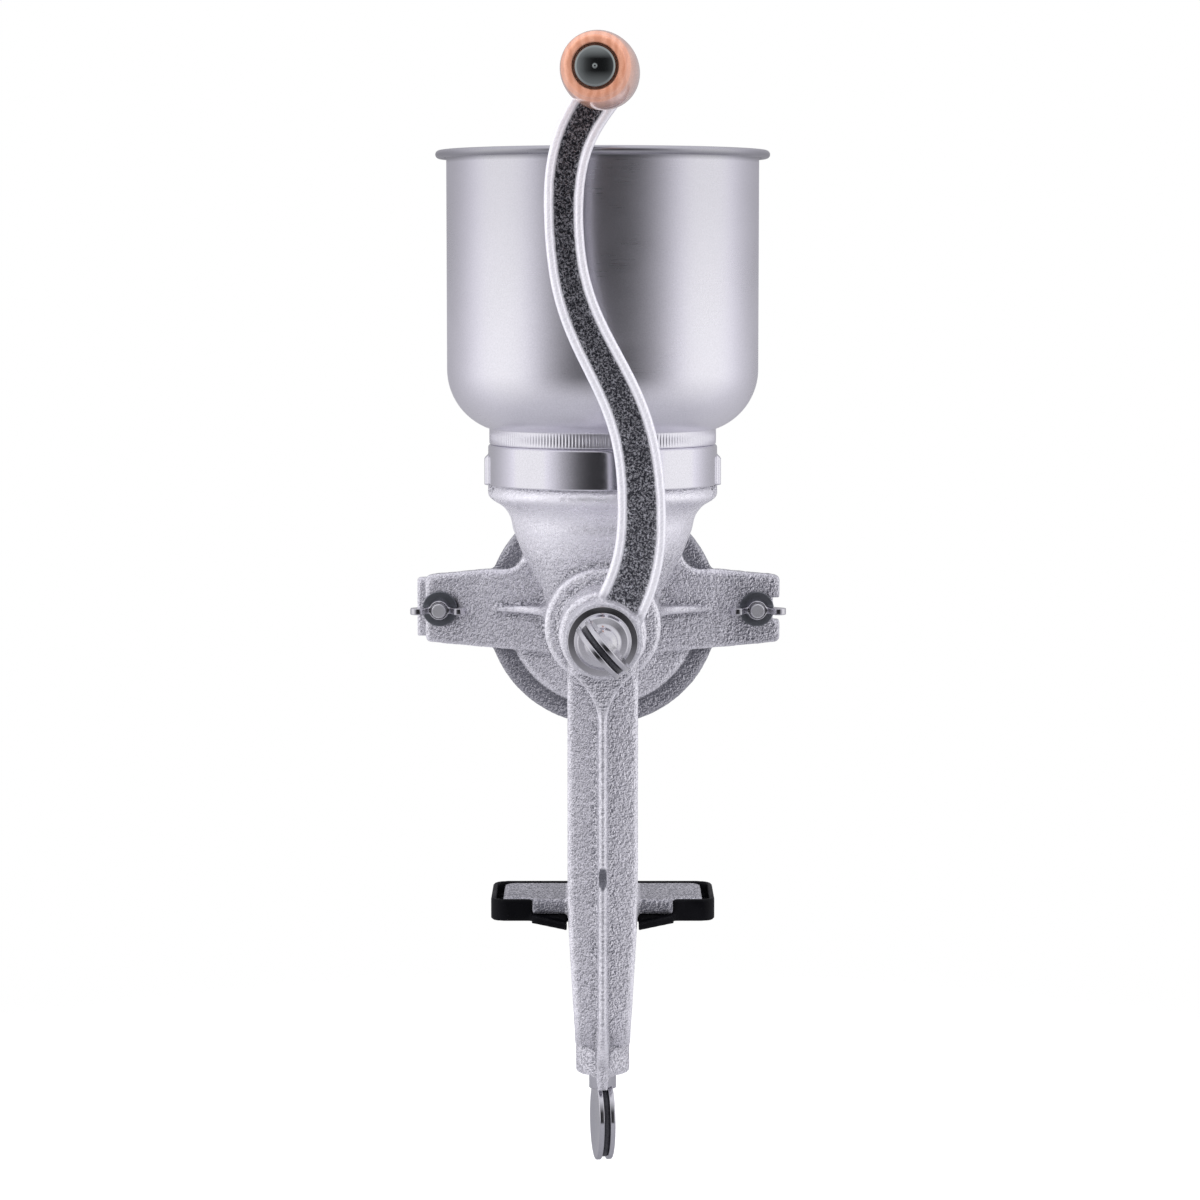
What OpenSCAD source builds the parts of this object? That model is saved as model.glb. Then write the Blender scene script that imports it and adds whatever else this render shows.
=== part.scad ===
// Hand grain mill that clamps to the edge of a table, in millimetres.
// +Z is up and +Y points away from the crank. The origin is on the table top,
// in the middle of the foot pad's underside.

/* [Placement] */
// Height of the auger's axis above the table top
axis_h = 118.5; // [114:0.5:124]
// Distance of the hopper's axis behind the middle of the foot pad
hopper_y = 29; // [28:0.5:32]
// Distance of the table's edge in front of the middle of the foot pad
edge_set = 22; // [22:0.5:24]

/* [Hopper] */
// Outside radius of the steel bowl
bowl_r = 64.4; // [62:0.1:66]
// Height of the bowl's rim above the table top
rim_h = 312; // [290:1:320]
// Thickness of the hopper's sheet steel
sheet_t = 0.9; // [0.8:0.1:1.2]
// Radius of the lip that turns outwards at the rim
lip_r = 2.8; // [2:0.1:4]
// Radius of the rolled bead along the lip's edge
lip_bead_r = 1.7; // [1.2:0.1:2]
// Radius of the bowl's rounded shoulder
shoulder_r = 26; // [24:0.5:28]
// Outside radius of the collar that slides over the spigot
collar_r = 47.5; // [47.5:0.1:48.2]
// Height of the crimped band where the bowl meets the collar
crimp_h = 6.5; // [4:0.5:8]
// How far the crimped band is set in from the collar's outside
crimp_set = 0.5; // [0.4:0.1:1.2]
// Radius of the hole in the collar's inner shelf
shelf_hole_r = 40; // [36:0.5:41]
// How far the pressed channels stand out from the collar
channel_out = 1.6; // [1.6:0.1:2.2]
// Width of the pressed channels
channel_w = 13; // [11:0.5:16]
// Height of the collar's lower edge above the bead
collar_lift = 1.2; // [0.8:0.1:2]

/* [Funnel] */
// Outside radius of the spigot that the hopper sits on
spigot_r = 45.8; // [45:0.1:46]
// Height of the spigot above the bead
spigot_h = 16.8; // [14:0.1:20]
// Height of the bead's top above the auger's axis
bead_up = 54.7; // [54:0.1:58]
// Outside radius of the bead under the spigot
bead_r = 47.8; // [47.2:0.1:48.4]
// Height of the bead
bead_h = 4.6; // [3.6:0.1:5.4]
// Radius of the funnel's hollow side curve
flare_r = 12; // [9:0.5:13]
// Outside radius of the funnel where it is slimmest
throat_r = 33.5; // [31:0.5:34.5]
// Height of the slimmest place above the auger's axis
throat_up = 27.5; // [26:0.5:29]
// Wall of the casting
cast_t = 4; // [3.5:0.1:4.4]
// Radius of the hole where the grain drops onto the auger
mouth_r = 17.5; // [15:0.5:18.5]
// Width of the lugs that guide the hopper's channels
lug_w = 8; // [6:0.5:9]
// How far the lugs stand out from the spigot
lug_out = 1.7; // [1.2:0.1:1.9]
// Height of the lugs
lug_h = 9; // [6:0.5:11]

/* [Barrel] */
// Outside radius of the barrel
barrel_r = 23.8; // [23.4:0.1:25]
// Radius of the barrel's bore
barrel_bore_r = 19.6; // [19.2:0.1:19.8]
// Distance of the barrel's front face in front of the pad's middle
barrel_front = 7; // [6:0.5:9]
// Thickness of the barrel's front wall
barrel_wall_t = 5; // [4:0.5:6]
// Outside radius of the bearing boss
boss_r = 17.5; // [16:0.5:18]
// Length of the bearing boss
boss_l = 34; // [30:0.5:35]
// Distance of the grinding disc's back face behind the hopper's axis
disc_set = 41.5; // [41.5:0.1:43]
// Outside radius of the grinding disc
disc_r = 49.6; // [48.6:0.1:51]
// Thickness of the grinding disc
disc_t = 6; // [5:0.5:7]
// Outside radius of the step in front of the disc
step_r = 41; // [39:0.5:43]
// Thickness of that step
step_t = 3.5; // [3:0.5:5]

/* [Arms] */
// How far each arm reaches out beyond the middle place of its bolt
arm_reach = 8; // [7:0.5:9]
// Height of an arm at its end
arm_end_h = 28.6; // [26:0.1:30]
// Height of an arm at the disc
arm_root_h = 33.4; // [31:0.1:36]
// How far the arms' middle is above the auger's axis
arm_up = 1; // [0:0.1:2]
// Thickness of the arms
arm_t = 8; // [7:0.5:9]
// How far the arms' back is in front of the disc's back
arm_set = 4; // [3:0.5:5]
// Width of the open slots for the bolts
slot_w = 9.4; // [8:0.1:10]
// Thickness of the web between barrel and arm, where it leaves the barrel
web_t = 3.6; // [2.6:0.1:4.4]
// Chamfer at the corners of the arms
arm_chamfer = 1.2; // [1:0.1:4]

/* [Leg] */
// Width of the leg above the table
leg_w = 28.4; // [26:0.2:30]
// Thickness of the leg's flange
leg_t = 7; // [6:0.5:8]
// Width of the leg just below the table top
leg_table_w = 27.9; // [25:0.1:28.2]
// Width of the leg at the clamp's lower arm
leg_low_w = 22.6; // [20:0.2:24]
// Thickness of the rib where it meets the leg
rib_t = 4.6; // [3.6:0.1:6]
// Thickness of the rib at its front edge
rib_edge_t = 2.6; // [2:0.1:3.6]
// How far the rib stands out in front of the flange
rib_out = 9; // [8:0.5:9.5]
// Half width of the rib's flare under the bearing boss
fan_half_w = 13.2; // [10:0.1:14]
// Radius of the flare's hollow sides
fan_r = 29; // [24:0.5:34]
// How far the flare reaches down below the bearing boss
fan_drop = 21; // [18:0.5:24]

/* [Foot] */
// Width of the foot plate
foot_w = 81; // [76:1:86]
// Thickness of the foot plate
foot_t = 6; // [5.5:0.5:8]
// Radius of the foot plate's back corners
foot_corner_r = 4; // [2:0.5:6]
// Room between the foot plate and the pad's rim, at the sides and behind
pad_room = 3; // [1:0.5:4]
// Thickness of the pad's floor
pad_floor_t = 3; // [2:0.5:4]
// Height of the pad's rim above the table top
pad_h = 9; // [8:0.5:12]
// Thickness of the pad's rim
pad_rim_t = 2; // [1.6:0.1:2.4]
// Radius of the pad's corners
pad_corner_r = 6; // [4:0.5:8]
// Width of the opening in the pad's front rim
pad_gap_w = 57.4; // [50:0.2:64]

/* [Clamp] */
// Depth of the clamp's mouth below the table top
mouth_h = 46; // [44:0.5:52]
// Thickness of the table top that the clamp is shut on
board_t = 18; // [16:0.5:22]
// Inner radius of the clamp's bend
bend_r = 10; // [8:0.5:11]
// Outside radius of the threaded boss
nut_boss_r = 11.1; // [10.4:0.1:12]
// Height of the threaded boss
nut_boss_h = 21; // [18:0.5:24]
// Radius of the clamp's spindle
spindle_r = 5; // [4.5:0.1:5.5]
// Radius of the clamp's cup
cup_r = 11.5; // [10:0.5:13]
// Thickness of the clamp's cup
cup_t = 5.5; // [5:0.5:6]
// Radius of the spindle's ball end in the cup
ball_end_r = 3.2; // [2.8:0.1:3.4]

/* [Paddles] */
// Width of the oval paddles
paddle_w = 26.4; // [24:0.2:30]
// Length of the oval paddles
paddle_l = 33; // [30:0.5:36]
// Thickness of the oval paddles
paddle_t = 6.6; // [5:0.1:7]
// Width of the groove around a paddle's edge
groove_w = 2.6; // [1.6:0.1:3]
// Depth of the groove around a paddle's edge
groove_d = 1.6; // [1:0.1:2.4]
// Radius of the neck between a spindle and its paddle
paddle_neck_r = 5.6; // [5.5:0.1:6.5]
// Length of that neck
paddle_neck_l = 5; // [4:0.5:8]

/* [Auger] */
// Radius of the auger's front journal
journal_r = 7.9; // [7.8:0.1:8.4]
// Radius of the auger's core
core_r = 9; // [8.5:0.1:9.5]
// Radius of the auger's flight
flight_r = 18.8; // [18:0.1:18.9]
// Pitch of the auger's flight
flight_pitch = 27; // [24:0.5:30]
// Angle of the flight's cross section
flight_angle = 72; // [60:1:90]
// Width across the auger's square front end
square_w = 10.8; // [10:0.1:11]
// Radius of the auger's collar
collar_shaft_r = 12; // [11:0.5:14]
// Length of the auger's collar
collar_shaft_l = 2.6; // [2:0.1:4]

/* [Plates] */
// Outside radius of the grinding plates
plate_r = 46; // [45:0.1:46.4]
// Thickness of a grinding plate's base
plate_t = 5; // [4.6:0.1:6]
// Height of the teeth
tooth_h = 2; // [1.5:0.1:2.4]
// Width of a furrow between two teeth
furrow_w = 2.6; // [2:0.1:3]
// Radius of the turning plate's bore
turning_bore_r = 12; // [11:0.5:14]
// Gap between the two plates as set
grind_gap = 0.8; // [0.7:0.1:1.2]
// Depth of the seat for the fixed plate
plate_seat = 2; // [1.5:0.1:2.5]
// Radius of the circle of plate screws
screw_circle_r = 33; // [31:0.5:36]
// Radius of the plate screws
plate_screw_r = 2; // [1.8:0.1:2.2]
// Outside radius of the plate carrier
carrier_r = 41; // [38:0.5:44]
// Thickness of the plate carrier's disc
carrier_t = 5.2; // [4.6:0.1:6]
// Radius of the carrier's hub
hub_boss_r = 14; // [13:0.5:15]
// Length of the carrier's hub behind its disc
hub_boss_l = 12; // [11:0.5:13]
// Radius of the drive pin
drive_pin_r = 2.5; // [2:0.1:2.5]
// Radius of the thrust ball
ball_r = 4; // [3.5:0.1:4]

/* [Yoke] */
// Room between the disc and the yoke's legs
leg_room = 1; // [0.6:0.1:2]
// Thickness of the yoke's feet
yoke_foot_t = 8; // [7:0.5:9]
// Height of the yoke's feet
yoke_foot_h = 25; // [24:0.5:27]
// Thickness of the yoke's legs
yoke_leg_t = 7; // [6:0.5:9]
// How far the yoke's bolts sit to the left of the middle place in their slots
bolt_shift = 1.9; // [0:0.1:2]
// Distance from the left bolt to the end of the yoke's left foot
left_foot_reach = 10; // [8:0.5:11]
// Distance from the right bolt to the end of the yoke's right foot
right_foot_reach = 7.5; // [7:0.5:11]
// Thickness of the yoke's bar
yoke_bar_t = 11; // [10:0.5:12]
// Height of the yoke's bar
yoke_bar_h = 20; // [18:0.5:24]
// Radius of the yoke's threaded boss
yoke_boss_r = 13; // [12:0.5:14]
// Length of the yoke's threaded boss behind its bar
yoke_boss_l = 6; // [4:0.5:8]
// Radius of the adjusting screw
adjuster_r = 5.9; // [5.5:0.1:6]
// Length of the adjusting screw behind the lock nut
adjuster_tail = 20; // [16:0.5:26]
// Width across the flats of the lock nut
lock_nut_w = 19; // [18:0.5:20]
// Thickness of the lock nut
lock_nut_t = 7; // [6:0.5:8]

/* [Fasteners] */
// Radius of the yoke bolts
bolt_r = 3; // [2.8:0.1:3.2]
// Outside radius of the yoke bolts' washers
washer_r = 7.4; // [6.6:0.1:8]
// Thickness of the washers
washer_t = 1.5; // [1.2:0.1:2]
// Radius of the wing nuts' bodies
wing_body_r = 5; // [4.8:0.1:6]
// Height of the wing nuts' bodies
wing_body_h = 6.5; // [6:0.5:8]
// Distance from a wing nut's axis to the tip of a wing
wing_reach = 12; // [11:0.5:13]
// Thickness of the wings
wing_t = 2.8; // [2:0.1:3.2]
// Height of the domed bolt heads
bolt_head_h = 3.6; // [3:0.1:4.5]
// Radius of the domed bolt heads
bolt_head_r = 6; // [5.6:0.1:6.6]

/* [Crank] */
// Distance from the auger's axis to the grip's axis
crank_l = 217.7; // [214:0.1:230]
// Thickness of the crank arm
crank_t = 11; // [9:0.5:11.5]
// Width of the crank arm at the hub
crank_wide = 20.9; // [19:0.1:22]
// Width of the crank arm at its slimmest
crank_slim = 15.1; // [14:0.1:17]
// How much wider the arm gets again towards the grip
crank_extra_w = 2; // [1:0.1:3]
// How far the eye is to the right of the auger's axis
eye_x = 3; // [0:0.1:3.2]
// How far the arm's middle line swings to each side
crank_swing = 16.2; // [12:0.1:18]
// Width of the raised rims along the arm
rim_w = 3.3; // [2.6:0.1:4]
// Depth of the channel between the rims
channel_d = 3; // [2:0.1:4]
// Radius of the crank's hub
hub_r = 15.5; // [14.5:0.1:16.5]
// Length of the crank's hub
hub_l = 16.5; // [14:0.5:17]
// Room between the bearing boss and the crank's hub
hub_play = 3.6; // [3.5:0.1:4.5]
// How far the arm is set back from the hub's front face
arm_inset = 2; // [2:0.1:4]
// Radius of the eye at the grip
eye_r = 9.5; // [9:0.1:11]
// Radius of the thumb screw's domed head
dome_r = 13.8; // [12.5:0.1:14.5]
// Height of the thumb screw's domed head
dome_h = 9; // [7:0.5:10]
// Radius of the thumb screw's shank
thumb_r = 3; // [2.5:0.1:3.2]

/* [Grip] */
// Length of the wooden grip
grip_l = 93; // [80:1:100]
// Radius of the grip at its thickest
grip_max_r = 14.2; // [13:0.1:16]
// Radius of the grip next to the arm
grip_arm_r = 10.4; // [10:0.1:12]
// Radius of the grip at its near end
grip_end_r = 11.2; // [10.6:0.1:13]
// Radius of the bolt through the grip
grip_bolt_r = 4; // [3.5:0.1:4]
// Radius of the grip bolt's domed head
grip_head_r = 7.4; // [7:0.1:7.6]
// Height of the grip bolt's domed head
grip_head_h = 6.5; // [5:0.5:9]
// Radius of the recess for the bolt's head
recess_r = 8; // [7.8:0.1:8.4]
// Depth of the recess for the bolt's head
recess_d = 4.5; // [3:0.5:6]
// Width across the flats of the grip bolt's nut
grip_nut_w = 13; // [12:0.5:14]
// Thickness of the grip bolt's nut
grip_nut_t = 4; // [3.5:0.5:4.5]
// Depth of the spot face that the nut sits on
nut_seat_d = 0.7; // [0.6:0.1:1]
// Angle by which the grip leans to the left on the arm
grip_lean = 3.6; // [0:0.1:4]

/* [Hidden] */
$fn = 96;

// Clearances and overruns
run_gap = 0.05;     // between a shaft and its hole, all round
seat_gap = 0.05;    // between two faces that bear on each other
rest_gap = 0.3;     // between pieces that only stand near each other
overrun = 1;        // how far a cut runs past the face that it opens
bite = 1;           // how far a boss or rib reaches into what carries it
edge_round = 1;     // small rounded edges of the castings
fillet_r = 4;       // hollow corners of the casting
disc_fillet_r = 9;  // hollow corner between barrel and disc
boss_fillet_r = 1.5; // hollow corner between bearing boss and barrel
foot_fillet_r = 1.6; // hollow corner between a foot of the yoke and its leg
lip_set = 0.3;      // how far the lip's top is below the bead's top
neck_share = 0.7;   // the spindle's thin neck, of its ball end's radius

// Hopper heights, from the bead upwards
bead_top = axis_h + bead_up;
bead_low = bead_top - bead_h;
spigot_top = bead_top + spigot_h;
collar_low = bead_top + collar_lift;
shelf_low = spigot_top + rest_gap;
collar_top = shelf_low + sheet_t;
crimp_top = collar_top + crimp_h;
crimp_r = collar_r - crimp_set;
shoulder_cx = bowl_r - shoulder_r;
shoulder_drop = sqrt(shoulder_r * shoulder_r - pow(crimp_r - shoulder_cx, 2));
shoulder_top = crimp_top + shoulder_drop;
shoulder_angle = asin(shoulder_drop / shoulder_r);
collar_inner_r = collar_r - sheet_t;

arm_z = axis_h + arm_up;

// Places along the auger's axis, from the crank backwards
boss_front_y = -barrel_front - boss_l;
barrel_front_y = -barrel_front;
cavity_front_y = barrel_front_y + barrel_wall_t;
disc_back_y = hopper_y + disc_set;
disc_front_y = disc_back_y - disc_t;
step_front_y = disc_front_y - step_t;
arm_back_y = disc_back_y - arm_set;
arm_front_y = arm_back_y - arm_t;
plate_seat_y = disc_back_y - plate_seat;
fixed_face_y = plate_seat_y + plate_t + tooth_h;
turning_face_y = fixed_face_y + grind_gap;
turning_back_y = turning_face_y + tooth_h + plate_t;
carrier_back_y = turning_back_y + carrier_t;
hub_back_y = carrier_back_y + hub_boss_l;
shaft_end_set = 4;
shaft_end_y = hub_back_y - shaft_end_set;
seat_share = 0.4;
ball_y = shaft_end_y + ball_r * (1 - seat_share);
tip_y = ball_y + ball_r * (1 - seat_share);
open_travel = 3;
yoke_gap = 1.4;
yoke_bar_y = hub_back_y + open_travel + yoke_gap;
yoke_back_y = yoke_bar_y + yoke_bar_t;
yoke_end_y = yoke_back_y + yoke_boss_l;
lock_y = yoke_end_y + seat_gap;
adjuster_end_y = lock_y + lock_nut_t + adjuster_tail;

// Places of the yoke and its bolts to the sides
leg_in = disc_r + leg_room;
leg_out = leg_in + yoke_leg_t;
bolt_x = leg_out + foot_fillet_r + rest_gap + bolt_head_r + bolt_shift;
left_bolt_x = -bolt_x - bolt_shift;
right_bolt_x = bolt_x - bolt_shift;
arm_span = bolt_x + arm_reach;

// Crank places
hub_back = boss_front_y - hub_play;
hub_front = hub_back - hub_l;
crank_front = hub_front + arm_inset;
crank_back = crank_front + crank_t;
eye_h = axis_h + crank_l;
eye_front = crank_front - arm_inset / 2;
eye_t = crank_back - eye_front;
nut_seat_y = eye_t - nut_seat_d;
grip_start = eye_front - 3 * rest_gap;
grip_near = grip_start - grip_l;
recess_y = grip_near + recess_d;
head_y = recess_y - rest_gap;

// Leg and clamp places
edge_y = -edge_set;
leg_front_y = edge_y - leg_t;
rib_front_y = leg_front_y - rib_out;
bend_y = edge_y + bend_r;
bend_z = -mouth_h + bend_r;
pad_w = foot_w + 2 * (pad_room + pad_rim_t);
pad_d = 2 * edge_set;
foot_back_y = pad_d / 2 - pad_rim_t - pad_room;
foot_top = pad_floor_t + foot_t;
cup_top = -board_t;
cup_low = cup_top - cup_t;
nut_boss_low = -mouth_h - nut_boss_h;
nub_h = 6.5;
paddle_top = nut_boss_low - seat_gap - overrun;

// A part of a circle as points, from one angle to another
function arc(cx, cy, r, from, to, steps = 8) =
    [for (i = [0 : steps])
        let (a = from + (to - from) * i / steps)
        [cx + r * cos(a), cy + r * sin(a)]];

// An oval as points
oval_steps = 48;
function oval(w, l, cy = 0) =
    [for (i = [0 : oval_steps - 1])
        let (a = 360 * i / oval_steps)
        [w / 2 * cos(a), cy + l / 2 * sin(a)]];

// A profile of radius and Y, turned about the auger's axis
module turned_on_auger() {
    translate([0, 0, axis_h]) rotate([-90, 0, 0]) rotate_extrude() children();
}

// A solid drawn along +Z, laid along +Y on the auger's axis from y
module on_auger(y) {
    translate([0, y, axis_h]) rotate([-90, 0, 0]) children();
}

// A solid drawn along +Z, laid along +Y through a point
module along_y(x, y, z) {
    translate([x, y, z]) rotate([-90, 0, 0]) children();
}

// Both halves of a symmetric outline as one list, from its points on the +X side
function both_halves(points) = two_halves(points, points);

// The same for a half on the +X side and another, also drawn for +X, on the -X side
function two_halves(right, left) = concat(right,
    [for (i = [len(left) - 1 : -1 : 0]) [-left[i][0], left[i][1]]]);

// An outline in X and Z, with its thickness from y backwards
module front_outline(y, t) {
    translate([0, y + t, 0]) rotate([90, 0, 0]) linear_extrude(t) children();
}

// An outline in Y and Z, centred on X with the given width
module side_outline(w) {
    translate([-w / 2, 0, 0]) rotate([90, 0, 90]) linear_extrude(w) children();
}

// Both sides of what is drawn for +X
module both_sides() {
    children();
    mirror([1, 0, 0]) children();
}

// Mill body: one casting with funnel, barrel, disc, arms, leg, foot and clamp

// Outer shape of the funnel, turned about the hopper's axis
module funnel_outside() {
    curve_x = throat_r + flare_r + cast_t;
    curve_z = bead_low - flare_r;
    low_share = 0.35;
    bead_x = bead_r - bead_h / 2;
    top_angle = 180 - acos((curve_x - bead_x) / flare_r);
    bead_end = acos((spigot_r - bead_x) / (bead_h / 2));
    translate([0, hopper_y, 0]) rotate_extrude() polygon(concat(
        [[0, axis_h], [barrel_r - bite, axis_h],
         [barrel_r, axis_h + throat_up * low_share], [throat_r, axis_h + throat_up]],
        arc(curve_x, curve_z, flare_r, 180, top_angle),
        arc(bead_x, bead_top - bead_h / 2, bead_h / 2, -90, bead_end),
        [[spigot_r, spigot_top - edge_round],
         [spigot_r - edge_round, spigot_top], [0, spigot_top]]
    ));
}

// The grain's way down through the funnel
module funnel_inside() {
    curve_x = throat_r + flare_r + cast_t;
    curve_z = bead_low - flare_r;
    inner_top_r = spigot_r - cast_t;
    top_angle = 180 - acos((curve_x - inner_top_r) / (flare_r + cast_t));
    chute_share = 0.5;
    translate([0, hopper_y, 0]) rotate_extrude() polygon(concat(
        [[0, axis_h], [mouth_r, axis_h],
         [mouth_r, axis_h + throat_up * chute_share],
         [throat_r - cast_t, axis_h + throat_up]],
        arc(curve_x, curve_z, flare_r + cast_t, 180, top_angle),
        [[inner_top_r, spigot_top + overrun], [0, spigot_top + overrun]]
    ));
}

// Bearing boss, barrel, step and grinding disc as one turned shape
module barrel_outside() {
    turned_on_auger() polygon(concat(
        [[0, boss_front_y]],
        arc(boss_r - edge_round, boss_front_y + edge_round, edge_round, -90, 0, 3),
        arc(boss_r + boss_fillet_r, barrel_front_y - boss_fillet_r, boss_fillet_r, 180, 90),
        arc(barrel_r - edge_round, barrel_front_y + edge_round, edge_round, -90, 0, 3),
        arc(barrel_r + disc_fillet_r, step_front_y - disc_fillet_r, disc_fillet_r, 180, 90),
        arc(step_r - edge_round, step_front_y + edge_round, edge_round, -90, 0, 3),
        [[step_r, disc_front_y]],
        arc(disc_r - edge_round, disc_front_y + edge_round, edge_round, -90, 0, 3),
        [[disc_r, disc_back_y - edge_round], [disc_r - edge_round, disc_back_y],
         [0, disc_back_y]]
    ));
}

// Bearing bore, auger chamber and the fixed plate's seat
module barrel_inside() {
    on_auger(boss_front_y - overrun)
        cylinder(r = journal_r + run_gap, h = boss_l + barrel_wall_t + 2 * overrun);
    on_auger(cavity_front_y)
        cylinder(r = barrel_bore_r, h = disc_back_y - cavity_front_y + overrun);
    on_auger(plate_seat_y)
        cylinder(r = plate_r + rest_gap, h = plate_seat + overrun);
}

// The two arms that carry the yoke, with open slots for its bolts
module arms() {
    root_x = disc_r - edge_round;
    flare_x = throat_r + fillet_r;
    flare_z = arm_z + arm_root_h / 2;
    flare_end = 190;
    slot_x = right_bolt_x + rest_gap;
    front_outline(arm_front_y, arm_t) difference() {
        polygon(both_halves(concat(
            [[barrel_r, arm_z - arm_root_h / 2 - fillet_r / 2],
             [root_x, arm_z - arm_root_h / 2],
             [arm_span - arm_chamfer, arm_z - arm_end_h / 2],
             [arm_span, arm_z - arm_end_h / 2 + arm_chamfer],
             [arm_span, arm_z + arm_end_h / 2 - arm_chamfer],
             [arm_span - arm_chamfer, arm_z + arm_end_h / 2],
             [root_x, flare_z]],
            arc(flare_x + fillet_r, flare_z + 2 * fillet_r, 2 * fillet_r, 270, flare_end)
        )));
        both_sides() {
            translate([slot_x, arm_z]) circle(d = slot_w);
            translate([slot_x, arm_z - slot_w / 2])
                square([arm_span - slot_x + overrun, slot_w]);
        }
    }
}

// Webs from the barrel's sides that taper to a point on the arms
module arm_webs() {
    web_out = 3;
    web_x = disc_r - fillet_r;
    root_x = barrel_r - bite;
    start_y = arm_front_y - (web_x - barrel_r);
    both_sides() intersection() {
        translate([0, 0, arm_z - web_t / 2]) linear_extrude(web_t) polygon(concat(
            [[root_x, start_y]],
            arc(web_x, start_y - web_out, web_x - barrel_r, 180, 90),
            [[web_x, arm_front_y + bite], [root_x, arm_front_y + bite]]
        ));
        front_outline(start_y - overrun, arm_front_y - start_y + bite + overrun) polygon([
            for (i = [-6 : 6]) let (a = 15 * i)
                [root_x + (web_x - root_x) * cos(a), arm_z + web_t / 2 * sin(a)]
        ]);
    }
}

// Side view of the leg's flange, round the clamp's bend to the threaded boss
module flange_side() {
    side_outline(leg_w + 2 * overrun) polygon(concat(
        [[leg_front_y, axis_h]],
        arc(bend_y, bend_z, bend_r + leg_t, 180, 270, 10),
        [[0, bend_z - bend_r - leg_t], [0, -mouth_h]],
        arc(bend_y, bend_z, bend_r, 270, 180, 8),
        [[edge_y, axis_h]]
    ));
}

// Front view of the flange: straight above the table and tapered below it
module flange_front() {
    front_outline(leg_front_y - overrun, edge_set + leg_t + 2 * overrun)
        polygon(both_halves([
            [leg_w / 2, axis_h], [leg_w / 2, foot_top], [leg_table_w / 2, 0],
            [leg_low_w / 2, -mouth_h], [leg_low_w / 2, -mouth_h - nut_boss_h]
        ]));
}

// Side view of the rib in front of the flange, from the boss to the clamp's boss
module rib_side(w) {
    low_r = bend_r + leg_t + rib_out;
    slope_h = 11;
    nub_y = -nut_boss_r + fillet_r / 2;
    top_z = axis_h - boss_r;
    bend_end = 261;
    side_outline(w) polygon(concat(
        [[boss_front_y + edge_round, axis_h], [boss_front_y + edge_round, top_z],
         [rib_front_y, top_z - slope_h]],
        arc(bend_y, bend_z, low_r, 180, bend_end, 12),
        [[nub_y - edge_round, nut_boss_low - nub_h], [nub_y, nut_boss_low - nub_h + edge_round],
         [nub_y, bend_z - bend_r - bite], [bend_y, bend_z - bend_r - bite]],
        arc(bend_y, bend_z, bend_r + bite, bend_end, 180, 8),
        [[leg_front_y + bite, axis_h]]
    ));
}

// The rib, thinner at its front edge than at the leg
module rib() {
    intersection() {
        rib_side(rib_t);
        translate([0, 0, nut_boss_low - 2 * nub_h])
            linear_extrude(axis_h - nut_boss_low + 2 * nub_h) polygon(both_halves([
                [rib_edge_t / 2, boss_front_y], [rib_edge_t / 2, rib_front_y],
                [rib_t / 2, leg_front_y], [rib_t / 2, 0]
            ]));
    }
}

// Flare that narrows from the bearing boss into the rib, with hollow sides
module fan() {
    low_z = axis_h - boss_r - fan_drop;
    turn = acos(1 - (fan_half_w - rib_edge_t / 2) / fan_r);
    intersection() {
        rib_side(2 * fan_half_w + 2 * overrun);
        front_outline(boss_front_y - overrun, boss_l + 2 * overrun)
            polygon(both_halves(concat(
                [[fan_half_w, axis_h]],
                arc(rib_edge_t / 2 + fan_r, low_z, fan_r, 180 - turn, 180)
            )));
    }
}

// Web behind the leg, up to the barrel
back_web_t = 6;
module barrel_web() {
    top_z = axis_h - boss_r + bite;
    low_z = axis_h - barrel_r + bite;
    reach_y = hopper_y - edge_y + bite / 2;
    side_outline(back_web_t) polygon(concat(
        [[edge_y - bite, top_z], [hopper_y, top_z]],
        arc(hopper_y, low_z - reach_y, reach_y, 90, 180, 10),
        [[edge_y - bite, low_z - reach_y]]
    ));
}

// Web from the leg down to the foot plate
module foot_web() {
    foot_web_h = 30;
    corner_y = edge_y + foot_web_h - bite / 2;
    side_outline(back_web_t) polygon(concat(
        [[edge_y - bite, foot_top - bite], [edge_y - bite, foot_top + foot_web_h]],
        arc(corner_y, foot_top + foot_web_h - bite / 2, foot_web_h, 180, 270, 8),
        [[corner_y, foot_top - bite]]
    ));
}

// Foot plate that stands on the rubber pad
module foot_plate() {
    groove_l = 8;
    groove_t = 1.2;
    groove_y = -edge_set / 2;
    front_y = pad_rim_t - pad_d / 2 + rest_gap;
    front_half_w = pad_gap_w / 2 - rest_gap;
    difference() {
        translate([0, 0, pad_floor_t]) linear_extrude(foot_t) polygon(both_halves(concat(
            [[front_half_w, edge_y - bite], [front_half_w, front_y],
             [foot_w / 2 - edge_round, front_y], [foot_w / 2, front_y + edge_round]],
            arc(foot_w / 2 - foot_corner_r, foot_back_y - foot_corner_r, foot_corner_r, 0, 90, 5)
        )));
        both_sides() translate([foot_w / 2 - groove_l, groove_y, foot_top - groove_t])
            cube([groove_l + overrun, groove_t, groove_t + overrun]);
    }
}

// Upright oval notch in the rib's front edge, above the foot plate
module rib_notch() {
    notch_r = 0.9;
    notch_h = 4.2;
    notch_d = 2;
    notch_up = 10;
    notch_z = foot_top + notch_up;
    for (dz = [0, notch_h])
        along_y(0, rib_front_y - overrun, notch_z + dz) cylinder(r = notch_r, h = notch_d + overrun);
    translate([-notch_r, rib_front_y - overrun, notch_z])
        cube([2 * notch_r, notch_d + overrun, notch_h]);
}

// Three holes for the plate screws
module plate_screw_places() {
    for (a = [30 : 120 : 270])
        along_y(screw_circle_r * cos(a), 0, axis_h + screw_circle_r * sin(a)) children();
}

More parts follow.
